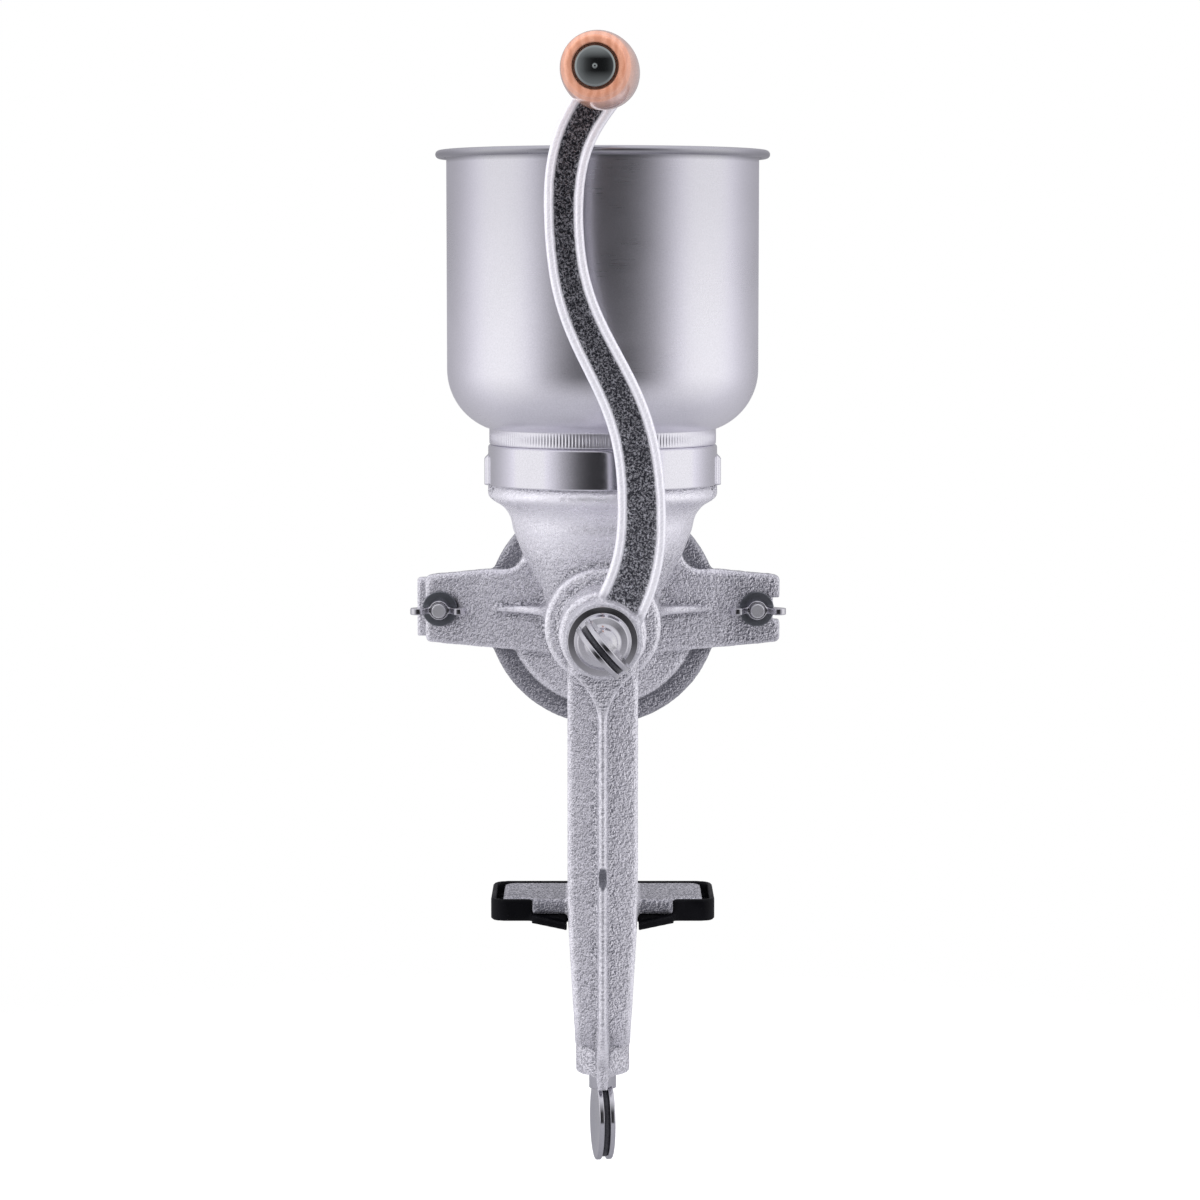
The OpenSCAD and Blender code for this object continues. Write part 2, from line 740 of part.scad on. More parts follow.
module mill_body() {
    color("silver") difference() {
        union() {
            funnel_outside();
            barrel_outside();
            arms();
            arm_webs();
            intersection() { flange_side(); flange_front(); }
            rib();
            fan();
            barrel_web();
            foot_web();
            foot_plate();
            translate([0, 0, nut_boss_low]) cylinder(r = nut_boss_r, h = nut_boss_h);
            both_sides() translate([spigot_r - bite, hopper_y - lug_w / 2, bead_top - bite])
                cube([lug_out + bite, lug_w, lug_h + bite]);
        }
        funnel_inside();
        barrel_inside();
        rib_notch();
        translate([0, 0, nut_boss_low - overrun])
            cylinder(r = spindle_r + run_gap, h = nut_boss_h + 2 * overrun);
        plate_screw_places() translate([0, 0, plate_seat_y - disc_t - seat_gap])
            cylinder(r = plate_screw_r + run_gap, h = disc_t + overrun);
    }
}

// Foot pad: black rubber tray with a low rim, open in front beside the leg
module foot_pad() {
    inner_w = pad_w - 2 * pad_rim_t;
    inner_d = pad_d - 2 * pad_rim_t;
    inner_corner_r = pad_corner_r - pad_rim_t;
    tongue_l = pad_gap_w / 2 - leg_w / 2 - rest_gap;
    tongue_h = 3;
    tongue_t = 5;
    tongue_x = leg_w / 2 + rest_gap;
    color("black") {
        difference() {
            linear_extrude(pad_h) pad_outline(pad_w, pad_d, pad_corner_r);
            translate([0, 0, pad_floor_t]) linear_extrude(pad_h)
                pad_outline(inner_w, inner_d, inner_corner_r);
            translate([-pad_gap_w / 2, -pad_d / 2 - overrun, pad_floor_t])
                cube([pad_gap_w, pad_rim_t + 2 * overrun, pad_h]);
            // the floor makes room for the leg
            translate([-leg_w / 2 - rest_gap, -pad_d / 2 - overrun, -overrun])
                cube([leg_w + 2 * rest_gap, pad_d / 2 - edge_set + overrun + rest_gap,
                    pad_h + 2 * overrun]);
        }
        both_sides() front_outline(-pad_d / 2 - tongue_t, tongue_t) polygon([
            [tongue_x + tongue_l, 0], [tongue_x + tongue_l, pad_floor_t],
            [tongue_x, pad_floor_t - tongue_h], [tongue_x, -tongue_h]
        ]);
    }
}

module pad_outline(w, d, r) {
    polygon(concat(
        arc(w / 2 - r, d / 2 - r, r, 0, 90, 6), arc(r - w / 2, d / 2 - r, r, 90, 180, 6),
        arc(r - w / 2, r - d / 2, r, 180, 270, 6), arc(w / 2 - r, r - d / 2, r, 270, 360, 6)
    ));
}

// Hopper bowl: spun steel, open at the top, with a rolled lip and a crimped neck
module hopper_bowl() {
    lip_z = rim_h - lip_set - lip_r - sheet_t;
    color("lightgrey") translate([0, hopper_y, 0]) {
        rotate_extrude() polygon(concat(
            [[shelf_hole_r, collar_top], [crimp_r, collar_top]],
            arc(shoulder_cx, shoulder_top, shoulder_r, -shoulder_angle, 0, 12),
            arc(bowl_r + lip_r, lip_z, lip_r, 180, 90, 6),
            arc(bowl_r + lip_r, lip_z, lip_r + sheet_t, 90, 180, 6),
            arc(shoulder_cx, shoulder_top, shoulder_r - sheet_t, 0, -shoulder_angle, 12),
            [[crimp_r - sheet_t, crimp_top], [crimp_r - sheet_t, collar_top + sheet_t],
             [shelf_hole_r, collar_top + sheet_t]]
        ));
        translate([0, 0, rim_h - lip_bead_r]) rotate_extrude()
            translate([bowl_r + lip_r, 0]) circle(r = lip_bead_r);
    }
}

// Hopper collar: pressed ring with an inner shelf that rests on the spigot
module hopper_collar() {
    inner_w = channel_w - 2 * sheet_t;
    ring_h = collar_top - collar_low;
    color("gainsboro") translate([0, hopper_y, collar_low]) difference() {
        union() {
            cylinder(r = collar_r, h = ring_h);
            intersection() {
                cylinder(r = collar_r + channel_out, h = ring_h - 2 * sheet_t);
                translate([-bowl_r, -channel_w / 2, 0]) cube([2 * bowl_r, channel_w, ring_h]);
            }
        }
        translate([0, 0, -overrun])
            cylinder(r = collar_inner_r, h = ring_h - sheet_t + overrun);
        intersection() {
            translate([0, 0, -overrun])
                cylinder(r = collar_inner_r + channel_out, h = ring_h - 3 * sheet_t + overrun);
            translate([-bowl_r, -inner_w / 2, -overrun])
                cube([2 * bowl_r, inner_w, ring_h + overrun]);
        }
        cylinder(r = shelf_hole_r, h = ring_h + overrun);
    }
}

// Furrows of a grinding plate: sets of three, aslant to the radius
furrow_sets = 9;
module furrows(turn) {
    set_angle = 360 / furrow_sets;
    furrow_shares = [0.50, 0.62, 0.76];
    lean = 24;
    for (i = [0 : furrow_sets - 1], j = [0 : len(furrow_shares) - 1])
        rotate([0, 0, turn * (i * set_angle + j * set_angle / len(furrow_shares))])
            translate([plate_r * furrow_shares[j], 0, -overrun]) rotate([0, 0, turn * lean])
                translate([0, -furrow_w / 2, 0]) cube([plate_r, furrow_w, tooth_h + overrun]);
}

// One grinding plate with its face at Z zero and its back above
module grinding_plate(bore_r, turn) {
    feed_d = 1.2;
    feed_r = 8;
    difference() {
        cylinder(r = plate_r, h = tooth_h + plate_t);
        furrows(turn);
        translate([0, 0, -overrun]) cylinder(r = bore_r, h = tooth_h + plate_t + 2 * overrun);
        translate([0, 0, -overrun]) cylinder(r = bore_r + feed_r, h = feed_d + overrun);
        for (a = [30 : 120 : 270])
            translate([screw_circle_r * cos(a), -screw_circle_r * sin(a), -overrun])
                cylinder(r = plate_screw_r + run_gap, h = tooth_h + plate_t + 2 * overrun);
        for (a = [30 : 120 : 270])
            translate([screw_circle_r * cos(a), -screw_circle_r * sin(a), -overrun])
                cylinder(r = 2 * plate_screw_r + run_gap, h = tooth_h + plate_screw_r + overrun);
    }
}

module fixed_plate() {
    color("dimgray") along_y(0, fixed_face_y, axis_h) mirror([0, 0, 1])
        grinding_plate(barrel_bore_r, 1);
}

module turning_plate() {
    color("dimgray") on_auger(turning_face_y) grinding_plate(turning_bore_r, 1);
}

// One plate screw: its head is let into the face, and it reaches the given depth
module plate_screw(depth) {
    slot_t = 0.8;
    difference() {
        union() {
            cylinder(r = 2 * plate_screw_r, h = plate_screw_r);
            cylinder(r = plate_screw_r, h = depth);
        }
        translate([-2 * plate_screw_r - overrun, -slot_t / 2, -overrun])
            cube([4 * plate_screw_r + 2 * overrun, slot_t, slot_t + overrun]);
    }
}

module fixed_plate_screws() {
    color("gray") plate_screw_places() translate([0, 0, fixed_face_y - tooth_h])
        mirror([0, 0, 1]) plate_screw(plate_t + disc_t - plate_screw_r);
}

module turning_plate_screws() {
    color("gray") plate_screw_places() translate([0, 0, turning_face_y + tooth_h])
        plate_screw(plate_t + carrier_t - seat_gap);
}

// Plate carrier: disc and hub, pinned to the auger's back end
module plate_carrier() {
    pin_y = hub_pin_y();
    color("darkgray") difference() {
        turned_on_auger() polygon(concat(
            [[0, turning_back_y], [carrier_r, turning_back_y],
             [carrier_r, carrier_back_y - edge_round], [carrier_r - edge_round, carrier_back_y]],
            arc(hub_boss_r + fillet_r, carrier_back_y + fillet_r, fillet_r, 270, 180, 6),
            [[hub_boss_r, hub_back_y - edge_round], [hub_boss_r - edge_round, hub_back_y],
             [0, hub_back_y]]
        ));
        on_auger(turning_back_y - overrun)
            cylinder(r = journal_r + run_gap, h = hub_back_y - turning_back_y + 2 * overrun);
        translate([-hub_boss_r - fillet_r, pin_y, axis_h]) rotate([0, 90, 0])
            cylinder(r = drive_pin_r + run_gap, h = 2 * hub_boss_r + 2 * fillet_r);
        plate_screw_places() translate([0, 0, turning_back_y - overrun])
            cylinder(r = plate_screw_r + run_gap, h = carrier_t + 2 * overrun);
    }
}

function hub_pin_y() = carrier_back_y + hub_boss_l / 4;

module drive_pin() {
    pin_l = 2 * hub_boss_r - edge_round;
    color("gray") translate([-pin_l / 2, hub_pin_y(), axis_h]) rotate([0, 90, 0])
        cylinder(r = drive_pin_r, h = pin_l);
}

// Auger: square front end, journal, collar, screw flight and pinned back end
module auger() {
    flight_y = collar_shaft_y() + collar_shaft_l;
    flight_l = fixed_face_y - tooth_h - flight_y;
    flight_slices = 48;
    flight_points = 8;
    square_l = hub_l - rest_gap + seat_gap;
    square_y = hub_front + rest_gap;
    journal_l = collar_shaft_y() - hub_back - seat_gap;
    color("gray") difference() {
        union() {
            along_y(0, square_y, axis_h) translate([-square_w / 2, -square_w / 2, 0])
                cube([square_w, square_w, square_l + overrun]);
            on_auger(collar_shaft_y() - journal_l) cylinder(r = journal_r, h = journal_l + bite);
            on_auger(collar_shaft_y()) cylinder(r = collar_shaft_r, h = collar_shaft_l);
            on_auger(flight_y - bite)
                cylinder(r = core_r, h = turning_face_y - flight_y + bite);
            on_auger(turning_face_y - bite)
                cylinder(r = journal_r, h = shaft_end_y - turning_face_y + bite);
            on_auger(flight_y - bite / 2)
                linear_extrude(flight_l, twist = -360 * flight_l / flight_pitch,
                    slices = flight_slices, segments = flight_points)
                    polygon(concat([[0, 0]], arc(0, 0, flight_r, 0, flight_angle, 6)));
        }
        on_auger(ball_y) sphere(r = ball_r + run_gap);
        translate([-hub_boss_r, hub_pin_y(), axis_h]) rotate([0, 90, 0])
            cylinder(r = drive_pin_r + run_gap, h = 2 * hub_boss_r);
        on_auger(square_y - overrun)
            cylinder(r = thumb_r + run_gap, h = thumb_l() + overrun);
    }
}

washer_ring_t = 1.6;
washer_ring_gap = 1.2;
function thumb_l() = hub_l + rest_gap + overrun;
function collar_shaft_y() = cavity_front_y + washer_ring_gap + washer_ring_t + seat_gap;

// Thrust washer between the auger's collar and the barrel's front wall
module thrust_washer() {
    ring_r = 14;
    color("goldenrod") on_auger(cavity_front_y + washer_ring_gap) difference() {
        cylinder(r = ring_r, h = washer_ring_t);
        translate([0, 0, -overrun])
            cylinder(r = journal_r + run_gap, h = washer_ring_t + 2 * overrun);
    }
}

module thrust_ball() {
    color("lightsteelblue") on_auger(ball_y) sphere(r = ball_r);
}

// Yoke: casting that bridges the plates and carries the adjusting screw
module yoke() {
    foot_y = arm_back_y + seat_gap;
    corner_r = yoke_bar_t;
    inner_r = fillet_r;
    left_x = left_foot_reach - left_bolt_x;
    right_x = right_foot_reach + right_bolt_x;
    function top_half(foot_x) = concat(
        arc(leg_in - inner_r, yoke_bar_y - inner_r, inner_r, 90, 0, 5),
        [[leg_in, foot_y], [foot_x, foot_y], [foot_x, foot_y + yoke_foot_t]],
        arc(leg_out + foot_fillet_r, foot_y + yoke_foot_t + foot_fillet_r,
            foot_fillet_r, 270, 180, 5),
        arc(leg_out - corner_r, yoke_back_y - corner_r, corner_r, 0, 90, 8));
    function front_half(foot_x) = [
        [yoke_boss_r, axis_h - yoke_bar_h / 2],
        [leg_in, arm_z - yoke_foot_h / 2],
        [foot_x, arm_z - yoke_foot_h / 2],
        [foot_x, arm_z + yoke_foot_h / 2],
        [leg_in, arm_z + yoke_foot_h / 2],
        [yoke_boss_r, axis_h + yoke_bar_h / 2]
    ];
    color("silver") difference() {
        union() {
            intersection() {
                translate([0, 0, axis_h - yoke_foot_h]) linear_extrude(2 * yoke_foot_h)
                    polygon(two_halves(top_half(right_x), top_half(left_x)));
                front_outline(foot_y - overrun, yoke_back_y - foot_y + 2 * overrun)
                    polygon(two_halves(front_half(right_x), front_half(left_x)));
            }
            on_auger(yoke_bar_y) cylinder(r = yoke_boss_r, h = yoke_end_y - yoke_bar_y);
        }
        on_auger(yoke_bar_y - overrun)
            cylinder(r = adjuster_r + run_gap, h = yoke_end_y - yoke_bar_y + 2 * overrun);
        for (x = [left_bolt_x, right_bolt_x]) along_y(x, foot_y - overrun, arm_z)
            cylinder(r = bolt_r + run_gap, h = yoke_foot_t + 2 * overrun);
    }
}

bolt_front_set = 3.2;
function bolt_front_y() = arm_front_y - washer_t - wing_body_h - bolt_front_set;

// Yoke bolts: round domed heads behind the yoke, ends in front of the wing nuts
module yoke_bolts() {
    head_back = arm_back_y + 2 * seat_gap + yoke_foot_t;
    dome_sphere_r = (bolt_head_r * bolt_head_r + bolt_head_h * bolt_head_h) / (2 * bolt_head_h);
    color("darkgray") for (x = [left_bolt_x, right_bolt_x]) {
        along_y(x, bolt_front_y(), arm_z)
            cylinder(r = bolt_r, h = head_back - bolt_front_y() + bite);
        along_y(x, head_back, arm_z) intersection() {
            translate([0, 0, bolt_head_h - dome_sphere_r]) sphere(r = dome_sphere_r);
            cylinder(r = bolt_head_r, h = bolt_head_h);
        }
    }
}

// Oval paddle on a round neck, drawn along +Z from its shaft, grooved at its edge
module paddle() {
    mid_z = paddle_neck_l + paddle_l / 2 - fillet_r / 2;
    translate([0, 0, -bite]) cylinder(r = paddle_neck_r, h = paddle_neck_l + bite);
    translate([0, paddle_t / 2, 0]) rotate([90, 0, 0]) linear_extrude(paddle_t)
        polygon(oval(paddle_w - 2 * groove_d, paddle_l - 2 * groove_d, mid_z));
    for (side = [-1, 1])
        translate([0, side * (paddle_t + groove_w) / 4 + (paddle_t - groove_w) / 4, 0])
            rotate([90, 0, 0]) linear_extrude((paddle_t - groove_w) / 2)
                polygon(oval(paddle_w, paddle_l, mid_z));
}

// Adjusting screw: pushes the ball, and so the turning plate, forwards
module adjusting_screw() {
    color("lightgrey") difference() {
        union() {
            on_auger(tip_y) cylinder(r = adjuster_r, h = adjuster_end_y - tip_y);
            on_auger(adjuster_end_y) paddle();
        }
        on_auger(ball_y) sphere(r = ball_r + run_gap);
    }
}

module hex_nut(w, t, bore_r) {
    difference() {
        cylinder(d = w / cos(30), h = t, $fn = 6);
        translate([0, 0, -overrun]) cylinder(r = bore_r, h = t + 2 * overrun);
    }
}

module lock_nut() {
    color("gray") on_auger(lock_y) hex_nut(lock_nut_w, lock_nut_t, adjuster_r + run_gap);
}

// One washer of the yoke bolts, in front of an arm
module washer(x) {
    color("dimgray") along_y(x, arm_front_y - seat_gap - washer_t, arm_z) difference() {
        cylinder(r = washer_r, h = washer_t);
        translate([0, 0, -overrun]) cylinder(r = bolt_r + run_gap, h = washer_t + 2 * overrun);
    }
}

module washer_left() washer(left_bolt_x);

module washer_right() washer(right_bolt_x);

// One wing nut, its wings level, in front of a washer
module wing_nut(x) {
    back_y = arm_front_y - 2 * seat_gap - washer_t;
    body_slim = 1;
    wing_low = 2;
    wing_high = 13;
    tip_r = 3.4;
    tip_start = -40;
    tip_end = 120;
    color("silver") translate([x, back_y, arm_z]) rotate([90, 0, 0]) difference() {
        union() {
            cylinder(r1 = wing_body_r, r2 = wing_body_r - body_slim, h = wing_body_h);
            translate([0, wing_t / 2, 0]) rotate([90, 0, 0]) linear_extrude(wing_t)
                both_sides() polygon(concat(
                    [[bolt_r, wing_low], [wing_body_r, wing_low]],
                    arc(wing_reach - tip_r, wing_high - tip_r, tip_r, tip_start, tip_end, 8),
                    [[wing_body_r - body_slim, wing_body_h - body_slim],
                     [bolt_r, wing_body_h - body_slim]]
                ));
        }
        translate([0, 0, -overrun]) cylinder(r = bolt_r + run_gap, h = wing_high + 2 * overrun);
    }
}

module wing_nut_left() wing_nut(left_bolt_x);

module wing_nut_right() wing_nut(right_bolt_x);

// Crank arm: an S-shaped casting with raised rims and a channel on both faces

// Shares of the swing that bend the plain sine into the real S
third_wave_share = 0.062;
half_wave_share = 0.037;
slim_share = 0.68;
widen_share = 0.75;
eye_share = 0.88;
crank_steps = 44;

// Middle line, half width and unit normal at a share t of the arm's length
function crank_mid(t) = [
    crank_swing * (sin(360 * t) + third_wave_share * sin(1080 * t)
        + half_wave_share * sin(720 * t))
        + eye_x * pow(max(0, (t - eye_share) / (1 - eye_share)), 2),
    t * crank_l
];
function crank_half(t) = (
    max(crank_slim, crank_wide - (crank_wide - crank_slim) * t / slim_share)
    + crank_extra_w * max(0, (t - widen_share) / (1 - widen_share))) / 2;
function crank_normal(t) =
    let (step = 1 / crank_steps / 2, d = crank_mid(t + step) - crank_mid(t - step))
    [d[1], -d[0]] / norm(d);
function crank_side(inset, side) = [
    for (i = [0 : crank_steps])
        let (t = i / crank_steps)
        crank_mid(t) + side * (crank_half(t) - inset) * crank_normal(t)
];
function reversed(points) = [for (i = [len(points) - 1 : -1 : 0]) points[i]];

module crank_outline(inset) {
    polygon(concat(crank_side(inset, 1), reversed(crank_side(inset, -1))));
}

// The sunk face between the rims, which stops short of the hub and the eye
module channel_outline() {
    difference() {
        crank_outline(rim_w);
        circle(r = hub_r);
        translate([eye_x, crank_l]) circle(r = eye_r);
    }
}

// What belongs to the leaning grip, drawn about the middle of the eye's front face
module on_eye(y) {
    translate([eye_x, eye_front, eye_h]) rotate([0, 0, -grip_lean]) translate([0, y, 0]) children();
}

module crank_arm() {
    color("silver") difference() {
        union() {
            translate([0, 0, axis_h]) {
                difference() {
                    front_outline(crank_front, crank_t) crank_outline(0);
                    front_outline(crank_front - overrun, channel_d + overrun) channel_outline();
                    front_outline(crank_back - channel_d, channel_d + overrun)
                        channel_outline();
                }
                along_y(0, hub_front, 0) cylinder(r = hub_r, h = hub_l);
                along_y(eye_x, eye_front, crank_l) cylinder(r = eye_r, h = eye_t);
            }
        }
        along_y(0, hub_front - overrun, axis_h)
            translate([-square_w / 2 - run_gap, -square_w / 2 - run_gap, 0])
                cube([square_w + 2 * run_gap, square_w + 2 * run_gap, hub_l + 2 * overrun]);
        on_eye(-overrun) along_y(0, 0, 0)
            cylinder(r = grip_bolt_r + run_gap, h = eye_t + 2 * overrun);
        on_eye(nut_seat_y) along_y(0, 0, 0)
            cylinder(r = grip_nut_w / sqrt(3) + rest_gap, h = grip_nut_t);
    }
}

// Thumb screw that holds the crank on the auger: domed head and oval paddle
module thumb_screw() {
    skirt_h = 1.2;
    bevel_w = 2.4;
    bevel_h = 2.4;
    low_z = skirt_h + bevel_h;
    low_r = dome_r - bevel_w;
    neck_r = paddle_neck_r;
    turn = 40;
    color("lightgrey") translate([0, hub_front - seat_gap, axis_h]) rotate([90, 0, 0]) {
        rotate_extrude() polygon(concat(
            [[0, 0], [dome_r, 0], [dome_r, skirt_h]],
            [for (a = [0 : 15 : 75])
                [neck_r + (low_r - neck_r) * cos(a), low_z + (dome_h - low_z) * sin(a)]],
            [[neck_r, dome_h], [0, dome_h]]
        ));
        mirror([0, 0, 1]) translate([0, 0, -bite]) cylinder(r = thumb_r, h = thumb_l() + bite);
        translate([0, 0, dome_h]) rotate([0, 0, -turn]) paddle();
    }
}

// Grip bolt: domed head in the grip's near end, shank through grip and eye
module grip_bolt() {
    tail_l = 0.5;
    head_in = eye_front - head_y;
    shank_l = head_in + nut_seat_y + seat_gap + grip_nut_t + tail_l;
    foot_h = 3;
    dome_sphere_r = (pow(grip_head_r, 2) + pow(grip_head_h - foot_h, 2))
        / (2 * (grip_head_h - foot_h));
    color("gainsboro") on_eye(-head_in) {
        along_y(0, -bite, 0) cylinder(r = grip_bolt_r, h = shank_l + bite);
        rotate([90, 0, 0]) {
            cylinder(r = grip_head_r, h = foot_h);
            intersection() {
                translate([0, 0, grip_head_h - dome_sphere_r]) sphere(r = dome_sphere_r);
                cylinder(r = grip_head_r, h = grip_head_h);
            }
        }
    }
}

module grip_nut() {
    color("gray") on_eye(nut_seat_y + seat_gap) along_y(0, 0, 0)
        hex_nut(grip_nut_w, grip_nut_t, grip_bolt_r + run_gap);
}

// Wooden grip: turned, thickest near its end, and loose on its bolt
widest_share = 0.68;
grip_steps = 20;
function grip_radius(u) = u < widest_share
    ? grip_arm_r + (grip_max_r - grip_arm_r) * pow(sin(90 * u / widest_share), 1.3)
    : grip_end_r + (grip_max_r - grip_end_r)
        * sqrt(max(0, 1 - pow((u - widest_share) / (1 - widest_share), 2)));

module wooden_grip() {
    end_round = 2;
    color("tan") on_eye(grip_start - eye_front) rotate([90, 0, 0]) difference() {
        rotate_extrude() polygon(concat(
            [[0, 0], [grip_arm_r - end_round, 0], [grip_arm_r - end_round / 3, end_round / 3]],
            [for (i = [1 : grip_steps - 1])
                let (u = i / grip_steps) [grip_radius(u), u * grip_l]],
            [[grip_end_r, grip_l - end_round], [grip_end_r - end_round / 3, grip_l - end_round / 3],
             [grip_end_r - end_round, grip_l], [0, grip_l]]
        ));
        translate([0, 0, -overrun])
            cylinder(r = grip_bolt_r + run_gap, h = grip_l + 2 * overrun);
        translate([0, 0, grip_l - recess_d]) cylinder(r = recess_r, h = recess_d + overrun);
    }
}

// Clamp spindle with its ball end in the cup and its paddle below the boss
module clamp_screw() {
    ball_z = cup_low + ball_end_r * seat_share;
    turn = 100;
    color("lightgrey") {
        translate([0, 0, paddle_top]) cylinder(r = spindle_r, h = cup_low - rest_gap - paddle_top);
        translate([0, 0, cup_low - rest_gap - bite])
            cylinder(r = neck_share * ball_end_r, h = ball_z - cup_low + rest_gap + bite);
        translate([0, 0, ball_z]) sphere(r = ball_end_r);
        translate([0, 0, paddle_top]) mirror([0, 0, 1]) rotate([0, 0, turn]) paddle();
    }
}

// Clamp cup: swivels on the ball end and presses on the table from below
module clamp_cup() {
    ball_z = cup_low + ball_end_r * seat_share;
    color("lightgrey") difference() {
        union() {
            translate([0, 0, cup_top - cup_t / 2]) cylinder(r = cup_r, h = cup_t / 2);
            translate([0, 0, cup_low])
                cylinder(r1 = cup_r - 2 * edge_round, r2 = cup_r, h = cup_t / 2 + run_gap);
        }
        translate([0, 0, ball_z]) sphere(r = ball_end_r + run_gap);
        translate([0, 0, cup_low - overrun])
            cylinder(r = neck_share * ball_end_r + run_gap, h = ball_z - cup_low + overrun);
    }
}

mill_body();
foot_pad();
hopper_bowl();
hopper_collar();
fixed_plate();
fixed_plate_screws();
turning_plate();
turning_plate_screws();
plate_carrier();
drive_pin();
auger();
thrust_washer();
thrust_ball();
yoke();
yoke_bolts();
adjusting_screw();
lock_nut();
washer_left();
washer_right();
wing_nut_left();
wing_nut_right();
crank_arm();
thumb_screw();
grip_bolt();
grip_nut();
wooden_grip();
clamp_screw();
clamp_cup();
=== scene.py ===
"""A hand grain mill that clamps to the edge of a table: the looks of its pieces, in metres."""

import math

import bmesh
import bpy
import numpy as np
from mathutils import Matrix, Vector


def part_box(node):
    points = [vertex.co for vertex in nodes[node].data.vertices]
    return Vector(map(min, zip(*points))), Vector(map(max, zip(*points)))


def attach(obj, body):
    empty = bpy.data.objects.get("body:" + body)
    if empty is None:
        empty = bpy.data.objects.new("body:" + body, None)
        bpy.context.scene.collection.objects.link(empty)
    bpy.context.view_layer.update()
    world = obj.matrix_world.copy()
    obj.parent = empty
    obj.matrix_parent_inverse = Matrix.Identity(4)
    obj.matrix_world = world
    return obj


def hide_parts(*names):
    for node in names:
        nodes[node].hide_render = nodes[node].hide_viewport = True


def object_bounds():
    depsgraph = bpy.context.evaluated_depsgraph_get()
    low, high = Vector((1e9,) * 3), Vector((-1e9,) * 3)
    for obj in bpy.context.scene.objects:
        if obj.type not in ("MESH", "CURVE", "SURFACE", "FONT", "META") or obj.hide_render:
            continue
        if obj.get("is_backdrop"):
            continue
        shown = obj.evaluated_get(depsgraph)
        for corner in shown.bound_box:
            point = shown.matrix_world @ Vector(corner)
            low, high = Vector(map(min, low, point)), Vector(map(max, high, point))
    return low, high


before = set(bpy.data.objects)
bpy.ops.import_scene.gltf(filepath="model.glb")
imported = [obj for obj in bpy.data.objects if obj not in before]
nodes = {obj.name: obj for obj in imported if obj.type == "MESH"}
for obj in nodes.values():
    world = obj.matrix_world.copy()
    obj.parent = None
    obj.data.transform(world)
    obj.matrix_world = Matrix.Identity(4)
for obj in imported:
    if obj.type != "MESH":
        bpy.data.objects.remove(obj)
cad_low, cad_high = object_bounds()

# Mill body: one iron casting with funnel, barrel, disc, arms, leg, foot plate and
# clamp. Its skin is the grain of a sand mould under bright tin, and every edge is
# a little round, as poured metal leaves it.

AUGER_Z = 0.1185


def lumps(points, size, seed):
    """Smooth random heights from -1 to 1: random numbers on a cubic lattice of the
    given spacing, blended between the eight lattice points around each place."""
    table = np.random.default_rng(seed).random((32, 32, 32)) * 2 - 1
    place = points / size
    cell = np.floor(place).astype(int)
    share = place - cell
    share = share * share * (3 - 2 * share)
    height = np.zeros(len(points))
    for corner in np.ndindex(2, 2, 2):
        at = (cell + corner) & 31
        weight = np.where(corner, share, 1 - share).prod(1)
        height += weight * table[at[:, 0], at[:, 1], at[:, 2]]
    return height


def points_of(mesh):
    """All points of a mesh as an array of rows x, y, z."""
    flat = np.empty(len(mesh.vertices) * 3)
    mesh.vertices.foreach_get("co", flat)
    return flat.reshape(-1, 3)


def normals_of(mesh):
    """The unit normal at each point of a mesh."""
    flat = np.empty(len(mesh.vertices) * 3)
    mesh.vertices.foreach_get("normal", flat)
    return flat.reshape(-1, 3)


def set_values(mesh, name, values):
    """Stores one number per point, for a material to read."""
    layer = mesh.attributes.new(name, "FLOAT", "POINT")
    layer.data.foreach_set("value", values.astype(np.float32))


def rounded_copy(node_name, name, cube, passes, grain=0.0, lump=0.0011, carve=None):
    """The node's shape with soft edges: it is refilled with cubes of one size, each
    point then moves half way to the mean of its neighbours a few times, then by
    carve(points), and last along its normal by the grain. The attribute ridge is how
    far a point stands out from its neighbours: more than 0 on edges, less in corners."""
    piece = bpy.data.objects.new(name, nodes[node_name].data.copy())
    bpy.context.scene.collection.objects.link(piece)
    loose = bmesh.new()
    loose.from_mesh(piece.data)
    bmesh.ops.remove_doubles(loose, verts=loose.verts, dist=2e-6)
    loose.to_mesh(piece.data)
    loose.free()
    refill = piece.modifiers.new("cubes", "REMESH")
    refill.mode = "VOXEL"
    refill.voxel_size = cube
    refill.use_smooth_shade = True
    bpy.context.view_layer.update()
    shape = piece.evaluated_get(bpy.context.evaluated_depsgraph_get())
    piece.data = bpy.data.meshes.new_from_object(shape)
    piece.modifiers.clear()
    mesh = piece.data
    mesh.name = name
    mesh.materials.clear()
    co = points_of(mesh)
    edges = np.empty(len(mesh.edges) * 2, int)
    mesh.edges.foreach_get("vertices", edges)
    here = np.concatenate([edges[0::2], edges[1::2]])
    there = np.concatenate([edges[1::2], edges[0::2]])
    count = np.bincount(here, minlength=len(co))[:, None]

    def mean_of_neighbours(values):
        return np.stack([np.bincount(here, values[there, k], len(co))
                         for k in range(values.shape[1])], 1) / count

    for _ in range(passes):
        co += 0.5 * (mean_of_neighbours(co) - co)
    mesh.vertices.foreach_set("co", co.ravel())
    mesh.update()
    normal = normals_of(mesh)
    stands_out = ((co - mean_of_neighbours(co)) * normal).sum(1, keepdims=True) / cube
    for _ in range(2):
        stands_out = 0.5 * (stands_out + mean_of_neighbours(stands_out))
    set_values(mesh, "ridge", np.clip(stands_out[:, 0] * 8, -1, 1))
    if carve:
        co += carve(co)
        mesh.vertices.foreach_set("co", co.ravel())
        mesh.update()
    if grain:
        height = 0.6 * lumps(co, lump, 3) + 0.4 * lumps(co, 3.1 * lump, 5)
        co += normal * (grain * height)[:, None]
        mesh.vertices.foreach_set("co", co.ravel())
    mesh.shade_smooth()
    mesh.update()
    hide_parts(node_name)
    return piece


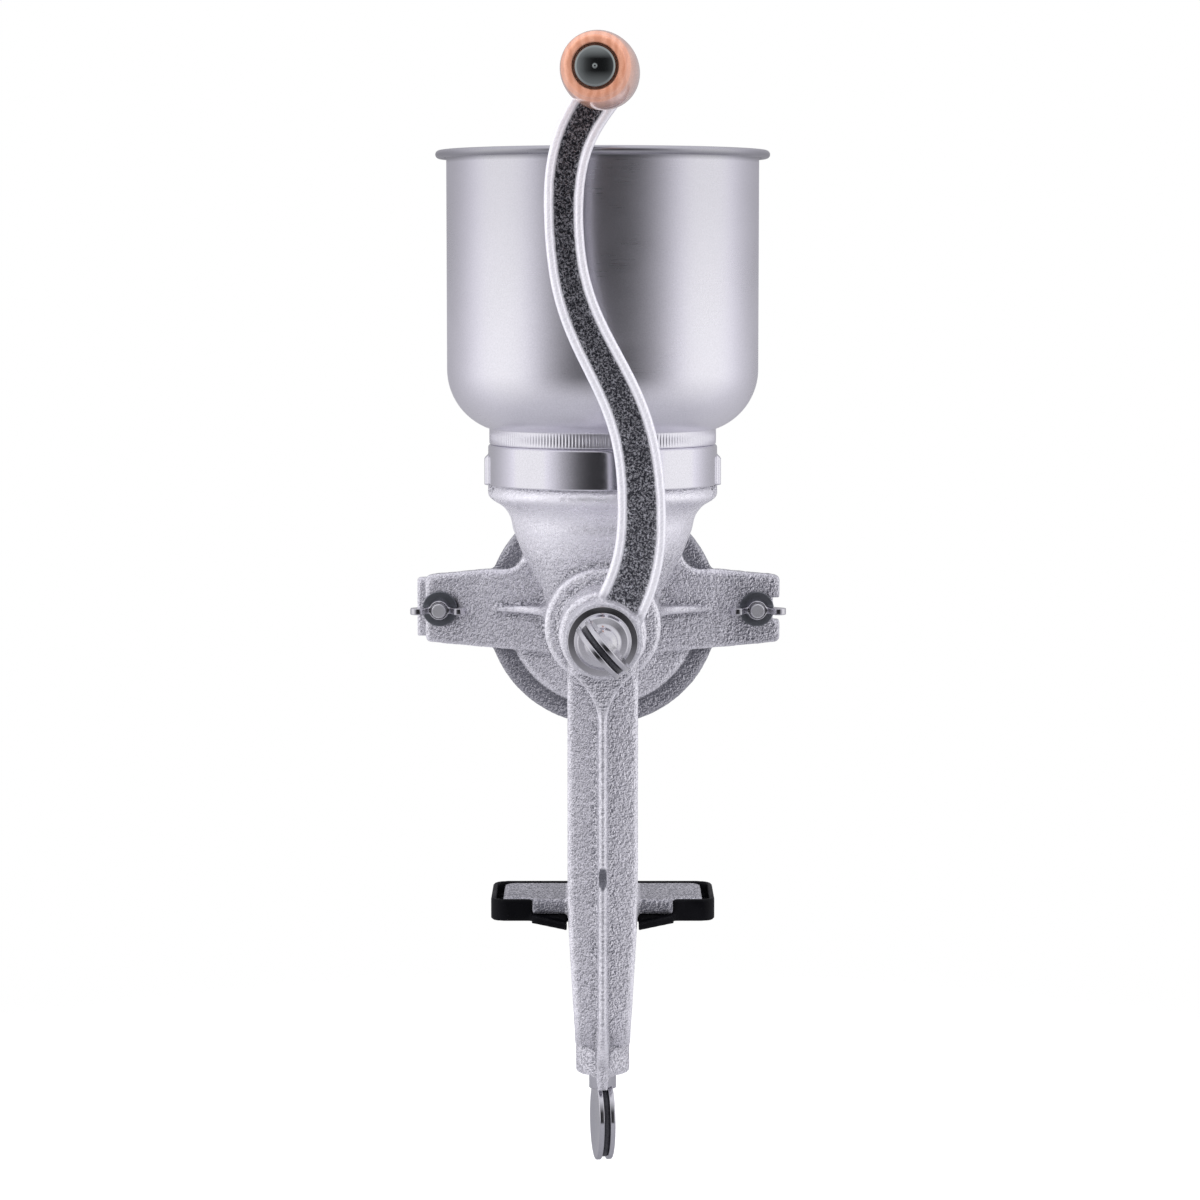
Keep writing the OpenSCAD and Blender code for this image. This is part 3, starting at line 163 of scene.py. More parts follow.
def dressed(piece, material, body_name):
    """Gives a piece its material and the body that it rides."""
    piece.data.materials.append(material)
    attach(piece, body_name)
    return piece


def add(tree, kind, **inputs):
    """A shader node with its inputs and settings given by name."""
    shader = tree.nodes.new(kind)
    for key, value in inputs.items():
        if hasattr(shader, key):
            setattr(shader, key, value)
        else:
            socket = shader.inputs[key.replace("_", " ")]
            if isinstance(value, bpy.types.NodeSocket):
                tree.links.new(value, socket)
            else:
                socket.default_value = value
    return shader


def sum_of(tree, operation, first, second, clamp=False):
    """The result socket of one arithmetic node, each side a socket or a number."""
    shader = tree.nodes.new("ShaderNodeMath")
    shader.operation = operation
    shader.use_clamp = clamp
    for socket, value in zip(shader.inputs, (first, second)):
        if isinstance(value, bpy.types.NodeSocket):
            tree.links.new(value, socket)
        else:
            socket.default_value = value
    return shader.outputs[0]


def spread(tree, value, from_low, from_high, to_low, to_high):
    """Maps a value linearly from one range to another and holds it there."""
    return add(tree, "ShaderNodeMapRange", Value=value, From_Min=from_low,
               From_Max=from_high, To_Min=to_low, To_Max=to_high).outputs["Result"]


def blended(tree, factor, first, second):
    """A colour between two colours."""
    shader = tree.nodes.new("ShaderNodeMix")
    shader.data_type = "RGBA"
    for socket, value in zip((shader.inputs[0], shader.inputs[6], shader.inputs[7]),
                             (factor, first, second)):
        if isinstance(value, bpy.types.NodeSocket):
            tree.links.new(value, socket)
        else:
            socket.default_value = value
    return shader.outputs[2]


def new_group(name, inputs, outputs):
    """An empty node group with named inputs and outputs."""
    group = bpy.data.node_groups.new(name, "ShaderNodeTree")
    for label, kind, value in inputs:
        group.interface.new_socket(label, in_out="INPUT", socket_type=kind).default_value = value
    for label, kind in outputs:
        group.interface.new_socket(label, in_out="OUTPUT", socket_type=kind)
    given = group.nodes.new("NodeGroupInput").outputs
    result = group.nodes.new("NodeGroupOutput").inputs
    return group, given, result


def new_material(name):
    """A node material, with its tree and its main shader."""
    material = bpy.data.materials.new(name)
    material.use_nodes = True
    tree = material.node_tree
    return material, tree, tree.nodes["Principled BSDF"]


def skinned_metal(name, skin_group, metallic, values):
    """A metal whose colour, roughness and normal come from a skin group with the
    given values. Below 1, metallic leaves part of it matt."""
    material, tree, metal = new_material(name)
    skin = tree.nodes.new("ShaderNodeGroup")
    skin.node_tree = skin_group
    for key, value in values.items():
        skin.inputs[key.replace("_", " ")].default_value = value
    metal.inputs["Metallic"].default_value = metallic
    tree.links.new(skin.outputs["Colour"], metal.inputs["Base Color"])
    tree.links.new(skin.outputs["Roughness"], metal.inputs["Roughness"])
    tree.links.new(skin.outputs["Normal"], metal.inputs["Normal"])
    return material


NUMBER, COLOUR, VECTOR = "NodeSocketFloat", "NodeSocketColor", "NodeSocketVector"
PAINTED_LIGHT_STEP = (0.00026, 0.00010, -0.00026)

# Skin of a sand casting: worm-like sharp grain over soft lumps. The attributes: ridge
# smooths and brightens the edges, a painted highlight, and darkens concave corners with
# painted shade; shade darkens the colour where the body sets it, mostly painted shade;
# calm flattens the grain, and filed draws fine level file marks across. The grain's
# colour carries painted light and shade: lighter or darker by its slope between two
# places one step apart, as if lit from one side.
cast_skin, given, result = new_group(
    "cast_skin",
    [("Bright", COLOUR, (0.93, 0.915, 0.98, 1)), ("Dark", COLOUR, (0.16, 0.16, 0.19, 1)),
     ("Grain size", NUMBER, 0.00105), ("Grain height", NUMBER, 0.00090),
     ("Smoothness", NUMBER, 0.28)],
    [("Colour", COLOUR), ("Roughness", NUMBER), ("Normal", VECTOR)])
place = add(cast_skin, "ShaderNodeTexCoord").outputs["Object"]
fine_scale = sum_of(cast_skin, "DIVIDE", 1.0, given["Grain size"])
aside = add(cast_skin, "ShaderNodeVectorMath", operation="ADD")
cast_skin.links.new(place, aside.inputs[0])
aside.inputs[1].default_value = PAINTED_LIGHT_STEP
fine, beside = [
    add(cast_skin, "ShaderNodeTexNoise", Vector=vector, Scale=fine_scale, Detail=1.0,
        Roughness=0.5, Distortion=0.8).outputs["Fac"] for vector in (place, aside.outputs[0])]
painted_light_slope = sum_of(cast_skin, "SUBTRACT", fine, beside)
coarse = add(cast_skin, "ShaderNodeTexNoise", Vector=place, Scale=330.0, Detail=2.0).outputs["Fac"]
broad = add(cast_skin, "ShaderNodeTexNoise", Vector=place, Scale=36.0, Detail=2.0).outputs["Fac"]
ridge = add(cast_skin, "ShaderNodeAttribute", attribute_name="ridge").outputs["Fac"]
shaded = add(cast_skin, "ShaderNodeAttribute", attribute_name="shade").outputs["Fac"]
calm = add(cast_skin, "ShaderNodeAttribute", attribute_name="calm").outputs["Fac"]
filed = add(cast_skin, "ShaderNodeAttribute", attribute_name="filed").outputs["Fac"]
level = add(cast_skin, "ShaderNodeMapping", Vector=place)
level.inputs["Scale"].default_value = (0.08, 0.08, 1.0)
marks = add(cast_skin, "ShaderNodeTexNoise", Vector=level.outputs["Vector"], Scale=1500.0,
            Detail=2.0).outputs["Fac"]
# Edges: the grain is rubbed smooth there and the colour lighter, a painted highlight.
edge = spread(cast_skin, ridge, 0.2, 0.7, 0.0, 1.0)
# corner: concave places, for painted shade.
corner = spread(cast_skin, ridge, -0.5, -0.1, 1.0, 0.0)
grain_left = sum_of(cast_skin, "SUBTRACT", 1.0, sum_of(cast_skin, "MULTIPLY", edge, 0.6))
grain_left = sum_of(cast_skin, "MULTIPLY", grain_left,
              sum_of(cast_skin, "SUBTRACT", 1.0, sum_of(cast_skin, "MULTIPLY", calm, 0.7)))
height = sum_of(cast_skin, "ADD", fine, sum_of(cast_skin, "MULTIPLY", coarse, 0.7))
height = sum_of(cast_skin, "MULTIPLY", height, grain_left)
height = sum_of(cast_skin, "ADD", height,
                sum_of(cast_skin, "MULTIPLY", sum_of(cast_skin, "MULTIPLY", marks, filed), 0.4))
cast_skin.links.new(
    add(cast_skin, "ShaderNodeBump", Strength=1.0, Distance=given["Grain height"],
        Height=height).outputs["Normal"], result["Normal"])
# Painted light and shade on the grain: lighter or darker by its slope along one step.
shade = sum_of(cast_skin, "MULTIPLY", spread(cast_skin, painted_light_slope, -0.12, 0.12, 0.68, -0.25), grain_left)
shade = sum_of(cast_skin, "ADD", shade, spread(cast_skin, broad, 0.35, 0.7, 0.08, 0.0))
# Painted shade in concave corners.
shade = sum_of(cast_skin, "ADD", shade, sum_of(cast_skin, "MULTIPLY", corner, 0.3))
shade = sum_of(cast_skin, "ADD", shade, sum_of(cast_skin, "MULTIPLY", filed,
                                               spread(cast_skin, marks, 0.35, 0.6, 0.5, 0.1)))
# The attribute shade darkens the colour where the body sets it, mostly painted shade.
shade = sum_of(cast_skin, "ADD", shade, sum_of(cast_skin, "MULTIPLY", shaded, 0.6), clamp=True)
cast_skin.links.new(blended(cast_skin, shade, given["Bright"], given["Dark"]), result["Colour"])
rough = sum_of(cast_skin, "ADD", given["Smoothness"],
               spread(cast_skin, coarse, 0.3, 0.7, -0.05, 0.08))
cast_skin.links.new(rough, result["Roughness"])


def cast_metal(name, **values):
    """Tin with a thin grey bloom over the casting's skin, part metal and part matt."""
    return skinned_metal(name, cast_skin, 0.58, values)


tinned = cast_metal("tinned_casting")
RIB_FRONT, RIB_TOP = -0.0380, 0.103
NOTCH_Z, NOTCH_HALF_H, NOTCH_HALF_W = 0.0200, 0.0042, 0.0019
NOTCH_D, NOTCH_REACH, NOTCH_DARK_REACH = 0.0016, 0.0012, 0.0035


def from_notch(co):
    """How far points lie from the notch's middle, squared, as shares of the radii of
    its upright oval."""
    return (co[:, 0] / NOTCH_HALF_W) ** 2 + ((co[:, 2] - NOTCH_Z) / NOTCH_HALF_H) ** 2


def notch(co):
    """How far points move back into the sand's pit on the rib: a lens whose depth
    falls off with the square of the distance from its middle."""
    depth = NOTCH_D * np.clip(1 - from_notch(co), 0, 1) * (co[:, 1] < RIB_FRONT + NOTCH_REACH)
    return np.stack([0 * depth, depth, 0 * depth], 1)


body = rounded_copy("mill_body", "body_casting", cube=0.00109, passes=3, grain=0.00010, carve=notch)
body_points, body_normals = points_of(body.data), normals_of(body.data)
x, y, z = body_points.T
# Painted shade on the disc's recessed rim behind its step, kept in the attribute shade.
DISC_STEP_R, DISC_STEP_Y = 0.0412, 0.0630
on_rim = (np.hypot(x, z - AUGER_Z) > DISC_STEP_R) * (y > DISC_STEP_Y)
# Painted shade in the notch's pit.
in_notch = (from_notch(body_points) < 1.2) * (y < RIB_FRONT + NOTCH_DARK_REACH)
# Painted shade on the foot plate: on its top, more on its front and in its grooves.
FOOT_TOP, LEG_HALF_W = 0.0095, 0.0155
FOOT_GROOVE_X, FOOT_GROOVE_Y, FOOT_GROOVE_HALF_W = 0.0310, -0.0112, 0.0008
on_foot = (np.abs(z - FOOT_TOP / 2) < FOOT_TOP / 2) * (np.abs(x) > LEG_HALF_W)
grooves = (np.abs(y - FOOT_GROOVE_Y) < FOOT_GROOVE_HALF_W) * (np.abs(x) > FOOT_GROOVE_X)
foot_shade = on_foot * np.where(body_normals[:, 1] < -0.5, 1.1, 0.75 + 0.8 * grooves)
# Darker towards the arm ends, the right one more.
ARM_HALF_H, LEFT_ARM_X, RIGHT_ARM_X, FADE = 0.018, -0.050, 0.047, 0.012
arm_end = (0.5 * np.clip((x - RIGHT_ARM_X) / FADE, 0, 1)
           + 0.2 * np.clip((LEFT_ARM_X - x) / FADE, 0, 1))
arm_end *= np.abs(z - AUGER_Z) < ARM_HALF_H
set_values(body.data, "shade", np.maximum.reduce([on_rim * 1.0, 1.4 * in_notch, foot_shade, arm_end]))
FUNNEL_LOW, FUNNEL_HALF_W, FAN_HALF_W, FAN_REACH = 0.142, 0.045, 0.011, 0.004
set_values(body.data, "calm", np.clip((z - FUNNEL_LOW) / FADE, 0, 1) * (np.abs(x) < FUNNEL_HALF_W))
on_rib = (np.abs(x) < FAN_HALF_W) * (z < RIB_TOP) * (y < RIB_FRONT + FAN_REACH)
set_values(body.data, "filed", on_rib * (body_normals[:, 1] < -0.8) * 1.0)
dressed(body, tinned, "mill")

# Foot pad: a moulded black rubber tray under the foot plate, matt with a faint
# pebbled skin, greyer where it has been handled.

rubber, tree, shell = new_material("black_rubber")
place = add(tree, "ShaderNodeTexCoord").outputs["Object"]
pebble = add(tree, "ShaderNodeTexNoise", Vector=place, Scale=1500.0, Detail=2.0).outputs["Fac"]
dust = add(tree, "ShaderNodeTexNoise", Vector=place, Scale=90.0, Detail=4.0).outputs["Fac"]
tree.links.new(blended(tree, spread(tree, dust, 0.4, 0.75, 0.0, 1.0),
                       (0.002, 0.002, 0.003, 1), (0.006, 0.006, 0.008, 1)),
               shell.inputs["Base Color"])
tree.links.new(spread(tree, dust, 0.3, 0.7, 0.42, 0.58), shell.inputs["Roughness"])
shell.inputs["Specular IOR Level"].default_value = 0.10
tree.links.new(add(tree, "ShaderNodeBump", Strength=0.5, Distance=0.0001,
                   Height=pebble).outputs["Normal"], shell.inputs["Normal"])
dressed(rounded_copy("foot_pad", "foot_tray", cube=0.0007, passes=2), rubber, "mill")

# Hopper bowl: spun from stainless sheet, satin outside, with a rolled lip at the
# rim and a band of fine crimps that locks its neck to the collar.

HOPPER_Y = 0.029
SHEET = 0.0009
BOWL_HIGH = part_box("hopper_bowl")[1]
COLLAR_LOW, COLLAR_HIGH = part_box("hopper_collar")
COLLAR_R = COLLAR_HIGH.y - HOPPER_Y
BOWL_RIM = BOWL_HIGH.z
LIP_OUT, LIP_BEAD = 0.0028, 0.0017
BOWL_R = BOWL_HIGH.x - LIP_OUT - LIP_BEAD
SHOULDER, NECK_ROUND, SHELF_HOLE = 0.026, 0.0008, 0.040
CRIMPS, CRIMP_H, CRIMP_D, CRIMP_SET = 208, 0.0065, 0.00032, 0.0005


def grid_mesh(name, grid, closed_rows=False):
    """A skin over a grid of points, rows by columns: neighbours are joined by
    four-sided faces, the last column joins the first, and with closed_rows the last
    row joins the first too. Its UV map counts metres round and along."""
    rows, columns = grid.shape[:2]
    row = np.arange(rows if closed_rows else rows - 1)[:, None]
    column = np.arange(columns)[None, :]
    next_row, next_column = (row + 1) % rows, (column + 1) % columns
    faces = np.stack([row * columns + column, row * columns + next_column,
                      next_row * columns + next_column, next_row * columns + column], -1)
    mesh = bpy.data.meshes.new(name)
    mesh.from_pydata(grid.reshape(-1, 3).tolist(), [], faces.reshape(-1, 4).tolist())
    around = np.linalg.norm(np.roll(grid, -1, 1) - grid, axis=2).mean(0)
    along = np.linalg.norm(np.roll(grid, -1, 0) - grid, axis=2).mean(1)
    u = np.concatenate([[0], np.cumsum(around)])
    v = np.concatenate([[0], np.cumsum(along)])
    uv = np.stack([np.stack([u[column + du] + 0 * row, v[row + dv] + 0 * column], -1)
                   for du, dv in ((0, 0), (1, 0), (1, 1), (0, 1))], 2)
    mesh.uv_layers.new(name="metres").data.foreach_set("uv", uv.ravel().astype(np.float32))
    skin = bmesh.new()
    skin.from_mesh(mesh)
    bmesh.ops.remove_doubles(skin, verts=skin.verts, dist=1e-7)
    bmesh.ops.dissolve_degenerate(skin, edges=skin.edges, dist=1e-8)
    bmesh.ops.recalc_face_normals(skin, faces=skin.faces)
    skin.to_mesh(mesh)
    skin.free()
    mesh.shade_smooth()
    return mesh


def arc(centre, radius, start, end, steps):
    """Points on a circle, or on an oval of two radii, from one angle to another, in
    degrees."""
    turn = np.radians(np.linspace(start, end, steps + 1))
    return np.asarray(centre) + np.stack([np.cos(turn), np.sin(turn)], 1) * radius


def turned(name, profile, centre, axis, columns=96, swell=None, closed=False):
    """A profile of radius and distance, carried round an axis through centre. The
    axis runs along the given unit vector. swell(angle, along, radius) is added to
    each radius. With closed, the profile's last point joins its first."""
    profile = np.asarray(profile, float)
    axis = np.asarray(axis, float)
    side = np.array([0.0, 0.0, 1.0]) if abs(axis[2]) < 0.5 else np.array([1.0, 0.0, 0.0])
    across = np.cross(axis, side)
    angle = np.linspace(0, 2 * np.pi, columns, endpoint=False)[None, :]
    radius, along = profile[:, 0][:, None], profile[:, 1][:, None]
    reach = radius + (swell(angle, along, radius) if swell else 0 * angle)
    grid = (np.asarray(centre) + along[..., None] * axis
            + reach[..., None] * (np.cos(angle)[..., None] * side
                                  + np.sin(angle)[..., None] * across))
    return grid_mesh(name, grid, closed)


def placed(mesh, material, body_name, slot, *node_names):
    """Puts a mesh into the scene with its material and body, in place of nodes. slot is not used."""
    piece = bpy.data.objects.new(mesh.name, mesh)
    bpy.context.scene.collection.objects.link(piece)
    dressed(piece, material, body_name)
    if node_names:
        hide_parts(*node_names)
    return piece


def densified(profile, step):
    """The same line with extra points, so that no stretch is longer than step."""
    profile = np.asarray(profile, float)
    parts = [profile[:1]]
    for start, end in zip(profile[:-1], profile[1:]):
        count = max(1, int(np.ceil(np.linalg.norm(end - start) / step)))
        parts.append(start + (end - start) * np.linspace(0, 1, count + 1)[1:, None])
    return np.concatenate(parts)


# Fine scratches and a faint speckle, drawn out round the turned pieces
satin_skin, given, result = new_group(
    "satin_skin",
    [("Colour", COLOUR, (0.74, 0.725, 0.79, 1)), ("Smoothness", NUMBER, 0.28),
     ("Scratch height", NUMBER, 0.00001), ("Scratch stretch", NUMBER, 40.0)],
    [("Colour", COLOUR), ("Roughness", NUMBER), ("Normal", VECTOR)])
place = add(satin_skin, "ShaderNodeTexCoord")
split = add(satin_skin, "ShaderNodeSeparateXYZ", Vector=place.outputs["UV"]).outputs
drawn = add(satin_skin, "ShaderNodeCombineXYZ",
            X=sum_of(satin_skin, "DIVIDE", split["X"], given["Scratch stretch"]),
            Y=split["Y"]).outputs["Vector"]
scratch = add(satin_skin, "ShaderNodeTexNoise", Vector=drawn, Scale=2600.0, Detail=3.0).outputs["Fac"]
speckle = add(satin_skin, "ShaderNodeTexNoise", Vector=place.outputs["Object"], Scale=1700.0,
              Detail=2.0, Roughness=0.7).outputs["Fac"]
cloud = add(satin_skin, "ShaderNodeTexNoise", Vector=place.outputs["Object"], Scale=28.0,
            Detail=3.0).outputs["Fac"]
rough = sum_of(satin_skin, "ADD", given["Smoothness"],
               spread(satin_skin, scratch, 0.3, 0.7, -0.015, 0.025))
rough = sum_of(satin_skin, "ADD", rough, spread(satin_skin, cloud, 0.35, 0.65, -0.02, 0.03))
satin_skin.links.new(rough, result["Roughness"])
dim = sum_of(satin_skin, "ADD", spread(satin_skin, speckle, 0.35, 0.7, 0.16, 0.0),
             spread(satin_skin, cloud, 0.35, 0.65, 0.06, 0.0))
satin_skin.links.new(blended(satin_skin, dim, given["Colour"], (0.30, 0.30, 0.33, 1)),
                     result["Colour"])
lift = sum_of(satin_skin, "ADD", scratch, sum_of(satin_skin, "MULTIPLY", speckle, 0.7))
satin_skin.links.new(
    add(satin_skin, "ShaderNodeBump", Strength=1.0, Distance=given["Scratch height"],
        Height=lift).outputs["Normal"], result["Normal"])


def satin_metal(name, metallic=1.0, **values):
    """A metal with the satin skin, less metallic for zinc and for blackened steel."""
    return skinned_metal(name, satin_skin, metallic, values)


bowl_steel = satin_metal("bowl_satin_steel", Colour=(0.93, 0.915, 0.98, 1), Smoothness=0.29,
                         Scratch_height=0.000004)
# Painted shade: the bowl darker towards its top, and a painted shadow under the rolled lip that is
# fainter on its top.
SHADE_LOW, SHADE_HIGH = 0.225, 0.305
UNDER_LIP_LOW, UNDER_LIP_HIGH, LIP_LOW, LIP_HIGH = 0.0052, 0.0034, 0.0018, 0.0008
tree = bowl_steel.node_tree
metal = tree.nodes["Principled BSDF"]
height = add(tree, "ShaderNodeSeparateXYZ",
             Vector=add(tree, "ShaderNodeTexCoord").outputs["Object"]).outputs["Z"]
painted_upper_shade = add(tree, "ShaderNodeMapRange", interpolation_type="SMOOTHSTEP", Value=height,
            From_Min=SHADE_LOW, From_Max=SHADE_HIGH, To_Min=0.0, To_Max=0.42).outputs["Result"]
painted_lip_shadow = spread(tree, height, BOWL_RIM - UNDER_LIP_LOW, BOWL_RIM - UNDER_LIP_HIGH, 0.0, 0.62)
on_lip = spread(tree, height, BOWL_RIM - LIP_LOW, BOWL_RIM - LIP_HIGH, 1.0, 0.55)
tone = blended(tree, painted_upper_shade, metal.inputs["Base Color"].links[0].from_socket,
               (0.52, 0.51, 0.56, 1))
tree.links.new(blended(tree, sum_of(tree, "MULTIPLY", painted_lip_shadow, on_lip), tone,
                       (0.20, 0.20, 0.22, 1)), metal.inputs["Base Color"])
crimp_low = COLLAR_HIGH.z
crimp_high = crimp_low + CRIMP_H
crimp_r = COLLAR_R - CRIMP_SET
shoulder_x = BOWL_R - SHOULDER
shoulder_z = crimp_high + math.sqrt(SHOULDER**2 - (crimp_r - shoulder_x) ** 2)
turn = math.degrees(math.asin((shoulder_z - crimp_high) / SHOULDER))
lip_z = BOWL_RIM - 0.0003 - LIP_OUT - SHEET
bead = (BOWL_R + LIP_OUT, BOWL_RIM - LIP_BEAD)
bowl_profile = np.concatenate([
    [[SHELF_HOLE, crimp_low], [crimp_r - NECK_ROUND, crimp_low]],
    arc((crimp_r - NECK_ROUND, crimp_low + NECK_ROUND), NECK_ROUND, -90, 0, 4),
    densified([[crimp_r, crimp_low + 0.0012], [crimp_r, crimp_high - 0.0004]], 0.0005),
    arc((shoulder_x, shoulder_z), SHOULDER, -turn, 0, 24),
    [[BOWL_R, lip_z]],
    arc((BOWL_R + LIP_OUT, lip_z), LIP_OUT, 180, 120, 5),
    arc(bead, LIP_BEAD, 215, 450, 14),
    arc((BOWL_R + LIP_OUT, lip_z), LIP_OUT + SHEET, 105, 180, 7),
    arc((shoulder_x, shoulder_z), SHOULDER - SHEET, 0, -turn, 24),
    [[crimp_r - SHEET, crimp_high], [crimp_r - SHEET, crimp_low + SHEET],
     [SHELF_HOLE, crimp_low + SHEET]]])


def crimps(angle, along, radius):
    """Upright grooves round the neck band: a sharpened cosine of the angle, faded
    out at the band's lower and upper edge."""
    middle = (crimp_low + crimp_high) / 2
    band = np.clip(1.4 - np.abs(along - middle) / (CRIMP_H / 2) * 1.4, 0, 1)
    outside = radius > crimp_r - SHEET / 2
    return -CRIMP_D * band * outside * (0.5 + 0.5 * np.cos(CRIMPS * angle)) ** 1.5


UP, HOPPER_AXIS = (0.0, 0.0, 1.0), (0, HOPPER_Y, 0)
placed(turned("bowl", bowl_profile, HOPPER_AXIS, UP, CRIMPS * 4, crimps, closed=True),
       bowl_steel, "hopper", "bowl_steel", "hopper_bowl")

# Hopper collar: a pressed ring of the same sheet, brighter and smoother, with two
# upright channels that slide down over the lugs of the spigot.

CHANNEL_OUT = COLLAR_HIGH.x - COLLAR_R
CHANNEL_HALF_W, CHANNEL_TOP, CHANNEL_FLANK, CHANNEL_SLOPE = 0.0065, 0.0130, 0.0012, 0.0022
COLLAR_ROUND, COLLAR_STEP = 0.0012, 0.0007
shelf = COLLAR_HIGH.z
collar_profile = np.concatenate([
    densified([[COLLAR_R, COLLAR_LOW.z + 0.0002], [COLLAR_R, shelf - COLLAR_ROUND]], COLLAR_STEP),
    arc((COLLAR_R - COLLAR_ROUND, shelf - COLLAR_ROUND), COLLAR_ROUND, 0, 90, 4),
    [[SHELF_HOLE, shelf], [SHELF_HOLE, shelf - SHEET]],
    arc((COLLAR_R - SHEET - 0.0008, shelf - SHEET - 0.0008), 0.0008, 90, 0, 3),
    densified([[COLLAR_R - SHEET, shelf - SHEET - 0.001], [COLLAR_R - SHEET, COLLAR_LOW.z]],
              COLLAR_STEP)])


def channels(angle, along, radius):
    """Two rounded bulges, left and right, that fade out below the collar's top."""
    sideways = np.abs(np.sin(angle)) * COLLAR_R
    flank = np.clip((CHANNEL_HALF_W - sideways) / CHANNEL_FLANK, 0, 1)
    top = np.clip((COLLAR_LOW.z + CHANNEL_TOP - along) / CHANNEL_SLOPE, 0, 1)
    bulge = (flank * flank * (3 - 2 * flank)) * (top * top * (3 - 2 * top))
    return CHANNEL_OUT * bulge * (radius > COLLAR_R - 2 * SHEET)


collar_steel = satin_metal("collar_bright_steel", Colour=(0.86, 0.845, 0.91, 1), Smoothness=0.13,
                           Scratch_height=0.000006)
placed(turned("collar", collar_profile, HOPPER_AXIS, UP, 720, channels, closed=True),
       collar_steel, "hopper", "collar_steel", "hopper_collar")

# Auger: cast with a square front end, a turned journal and collar, and one broad
# flight of two and a half turns that pushes the grain back to the plates.

AUGER_LOW, AUGER_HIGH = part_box("auger")
HUB_FRONT, HUB_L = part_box("crank_arm")[0].y, 0.0165
JOURNAL_START = HUB_FRONT + HUB_L + 0.00005
ON_AXIS = (0.0, 0.0, AUGER_Z)
BACK = (0.0, 1.0, 0.0)
JOURNAL_R, STEP_START = 0.0079, 0.0763
SHAFT_COLLAR_R, SHAFT_COLLAR_START, SHAFT_COLLAR_END = 0.0120, 0.0009, 0.0035
FLIGHT_START, FLIGHT_END, FLIGHT_TAPER = 0.0035, 0.0735, 0.004
FLIGHT_R, CORE_R, ROOT_R, PITCH = 0.0188, 0.0090, 0.0070, 0.027


def softened(corners, steps=5):
    """The line through corners of radius, distance and rounding, each corner
    replaced by an arc of that rounding that touches both of its lines."""
    corners = np.asarray(corners, float)
    points = [corners[:1, :2]]
    for last, (r, a, rounding), after in zip(corners[:-2], corners[1:-1], corners[2:]):
        corner = np.array([r, a])
        to_last, to_next = last[:2] - corner, after[:2] - corner
        long_last, long_next = np.linalg.norm(to_last), np.linalg.norm(to_next)
        to_last, to_next = to_last / long_last, to_next / long_next
        half = 0.5 * math.acos(np.clip(to_last @ to_next, -1, 1))
        cut = min(rounding / math.tan(half), 0.48 * long_last, 0.48 * long_next)
        if cut < 1e-7 or half > 1.56:
            points.append(corner[None, :])
            continue
        share = np.linspace(0, 1, steps + 1)[:, None]
        centre = corner + (to_last + to_next) / np.linalg.norm(to_last + to_next) * (
            cut / math.cos(half))
        start, end = corner + to_last * cut - centre, corner + to_next * cut - centre
        swing = math.acos(np.clip(start @ end / (start @ start), -1, 1))
        weight_start = np.sin((1 - share) * swing) / math.sin(swing)
        weight_end = np.sin(share * swing) / math.sin(swing)
        points.append(centre + start * weight_start + end * weight_end)
    points.append(corners[-1:, :2])
    return np.concatenate(points)


def flight():
    """A blade wound round the auger's axis: its section, wide at the core and
    rounded at its edge, is carried along a helix of one pitch a turn."""
    section = softened([(ROOT_R, -0.0036, 0), (CORE_R, -0.0034, 0.001),
                        (FLIGHT_R, -0.0021, 0.0012), (FLIGHT_R, 0.0021, 0.0012),
                        (CORE_R, 0.0034, 0.001), (ROOT_R, 0.0036, 0)])
    travel = np.linspace(FLIGHT_START, FLIGHT_END, 150)[None, :]
    taper = np.minimum(travel - FLIGHT_START, FLIGHT_END - travel) / FLIGHT_TAPER
    taper = np.clip(taper, 0.05, 1)
    radius = ROOT_R + (section[:, 0][:, None] - ROOT_R) * taper
    turn = 2 * np.pi * travel / PITCH
    along = travel + section[:, 1][:, None] * (0.3 + 0.7 * taper)
    grid = np.stack([radius * np.sin(turn), along + 0 * radius,
                     AUGER_Z + radius * np.cos(turn)], -1)
    rows, columns = grid.shape[:2]
    row, column = np.arange(rows)[:, None], np.arange(columns - 1)[None, :]
    after = (row + 1) % rows
    faces = np.stack([row * columns + column, row * columns + column + 1,
                      after * columns + column + 1, after * columns + column], -1)
    mesh = bpy.data.meshes.new("auger_flight")
    ends = [list(range(0, rows * columns, columns)),
            list(range(columns - 1, rows * columns, columns))]
    mesh.from_pydata(grid.reshape(-1, 3).tolist(), [], faces.reshape(-1, 4).tolist() + ends)
    skin = bmesh.new()
    skin.from_mesh(mesh)
    bmesh.ops.recalc_face_normals(skin, faces=skin.faces)
    skin.to_mesh(mesh)
    skin.free()
    mesh.shade_smooth()
    mesh.set_sharp_from_angle(angle=math.radians(50))
    return mesh


shaft_profile = softened([
    (0, JOURNAL_START, 0), (JOURNAL_R, JOURNAL_START, 0.0005),
    (JOURNAL_R, SHAFT_COLLAR_START, 0.0002), (SHAFT_COLLAR_R, SHAFT_COLLAR_START, 0.0006),
    (SHAFT_COLLAR_R, SHAFT_COLLAR_END, 0.0006), (CORE_R, SHAFT_COLLAR_END, 0.0012),
    (CORE_R, STEP_START, 0.0003), (JOURNAL_R, STEP_START, 0.0003),
    (JOURNAL_R, AUGER_HIGH.y, 0.0006), (0, AUGER_HIGH.y, 0)])
auger_metal = cast_metal("auger_casting", Grain_height=0.00012, Smoothness=0.30,
                         Dark=(0.38, 0.37, 0.39, 1))
placed(turned("auger_shaft", shaft_profile, ON_AXIS, BACK, 72),
       auger_metal, "rotor", "casting", "auger")
placed(flight(), auger_metal, "rotor", "casting")
SQUARE_HALF_W, SQUARE_BURY = 0.0054, 0.001
square_end = JOURNAL_START + SQUARE_BURY
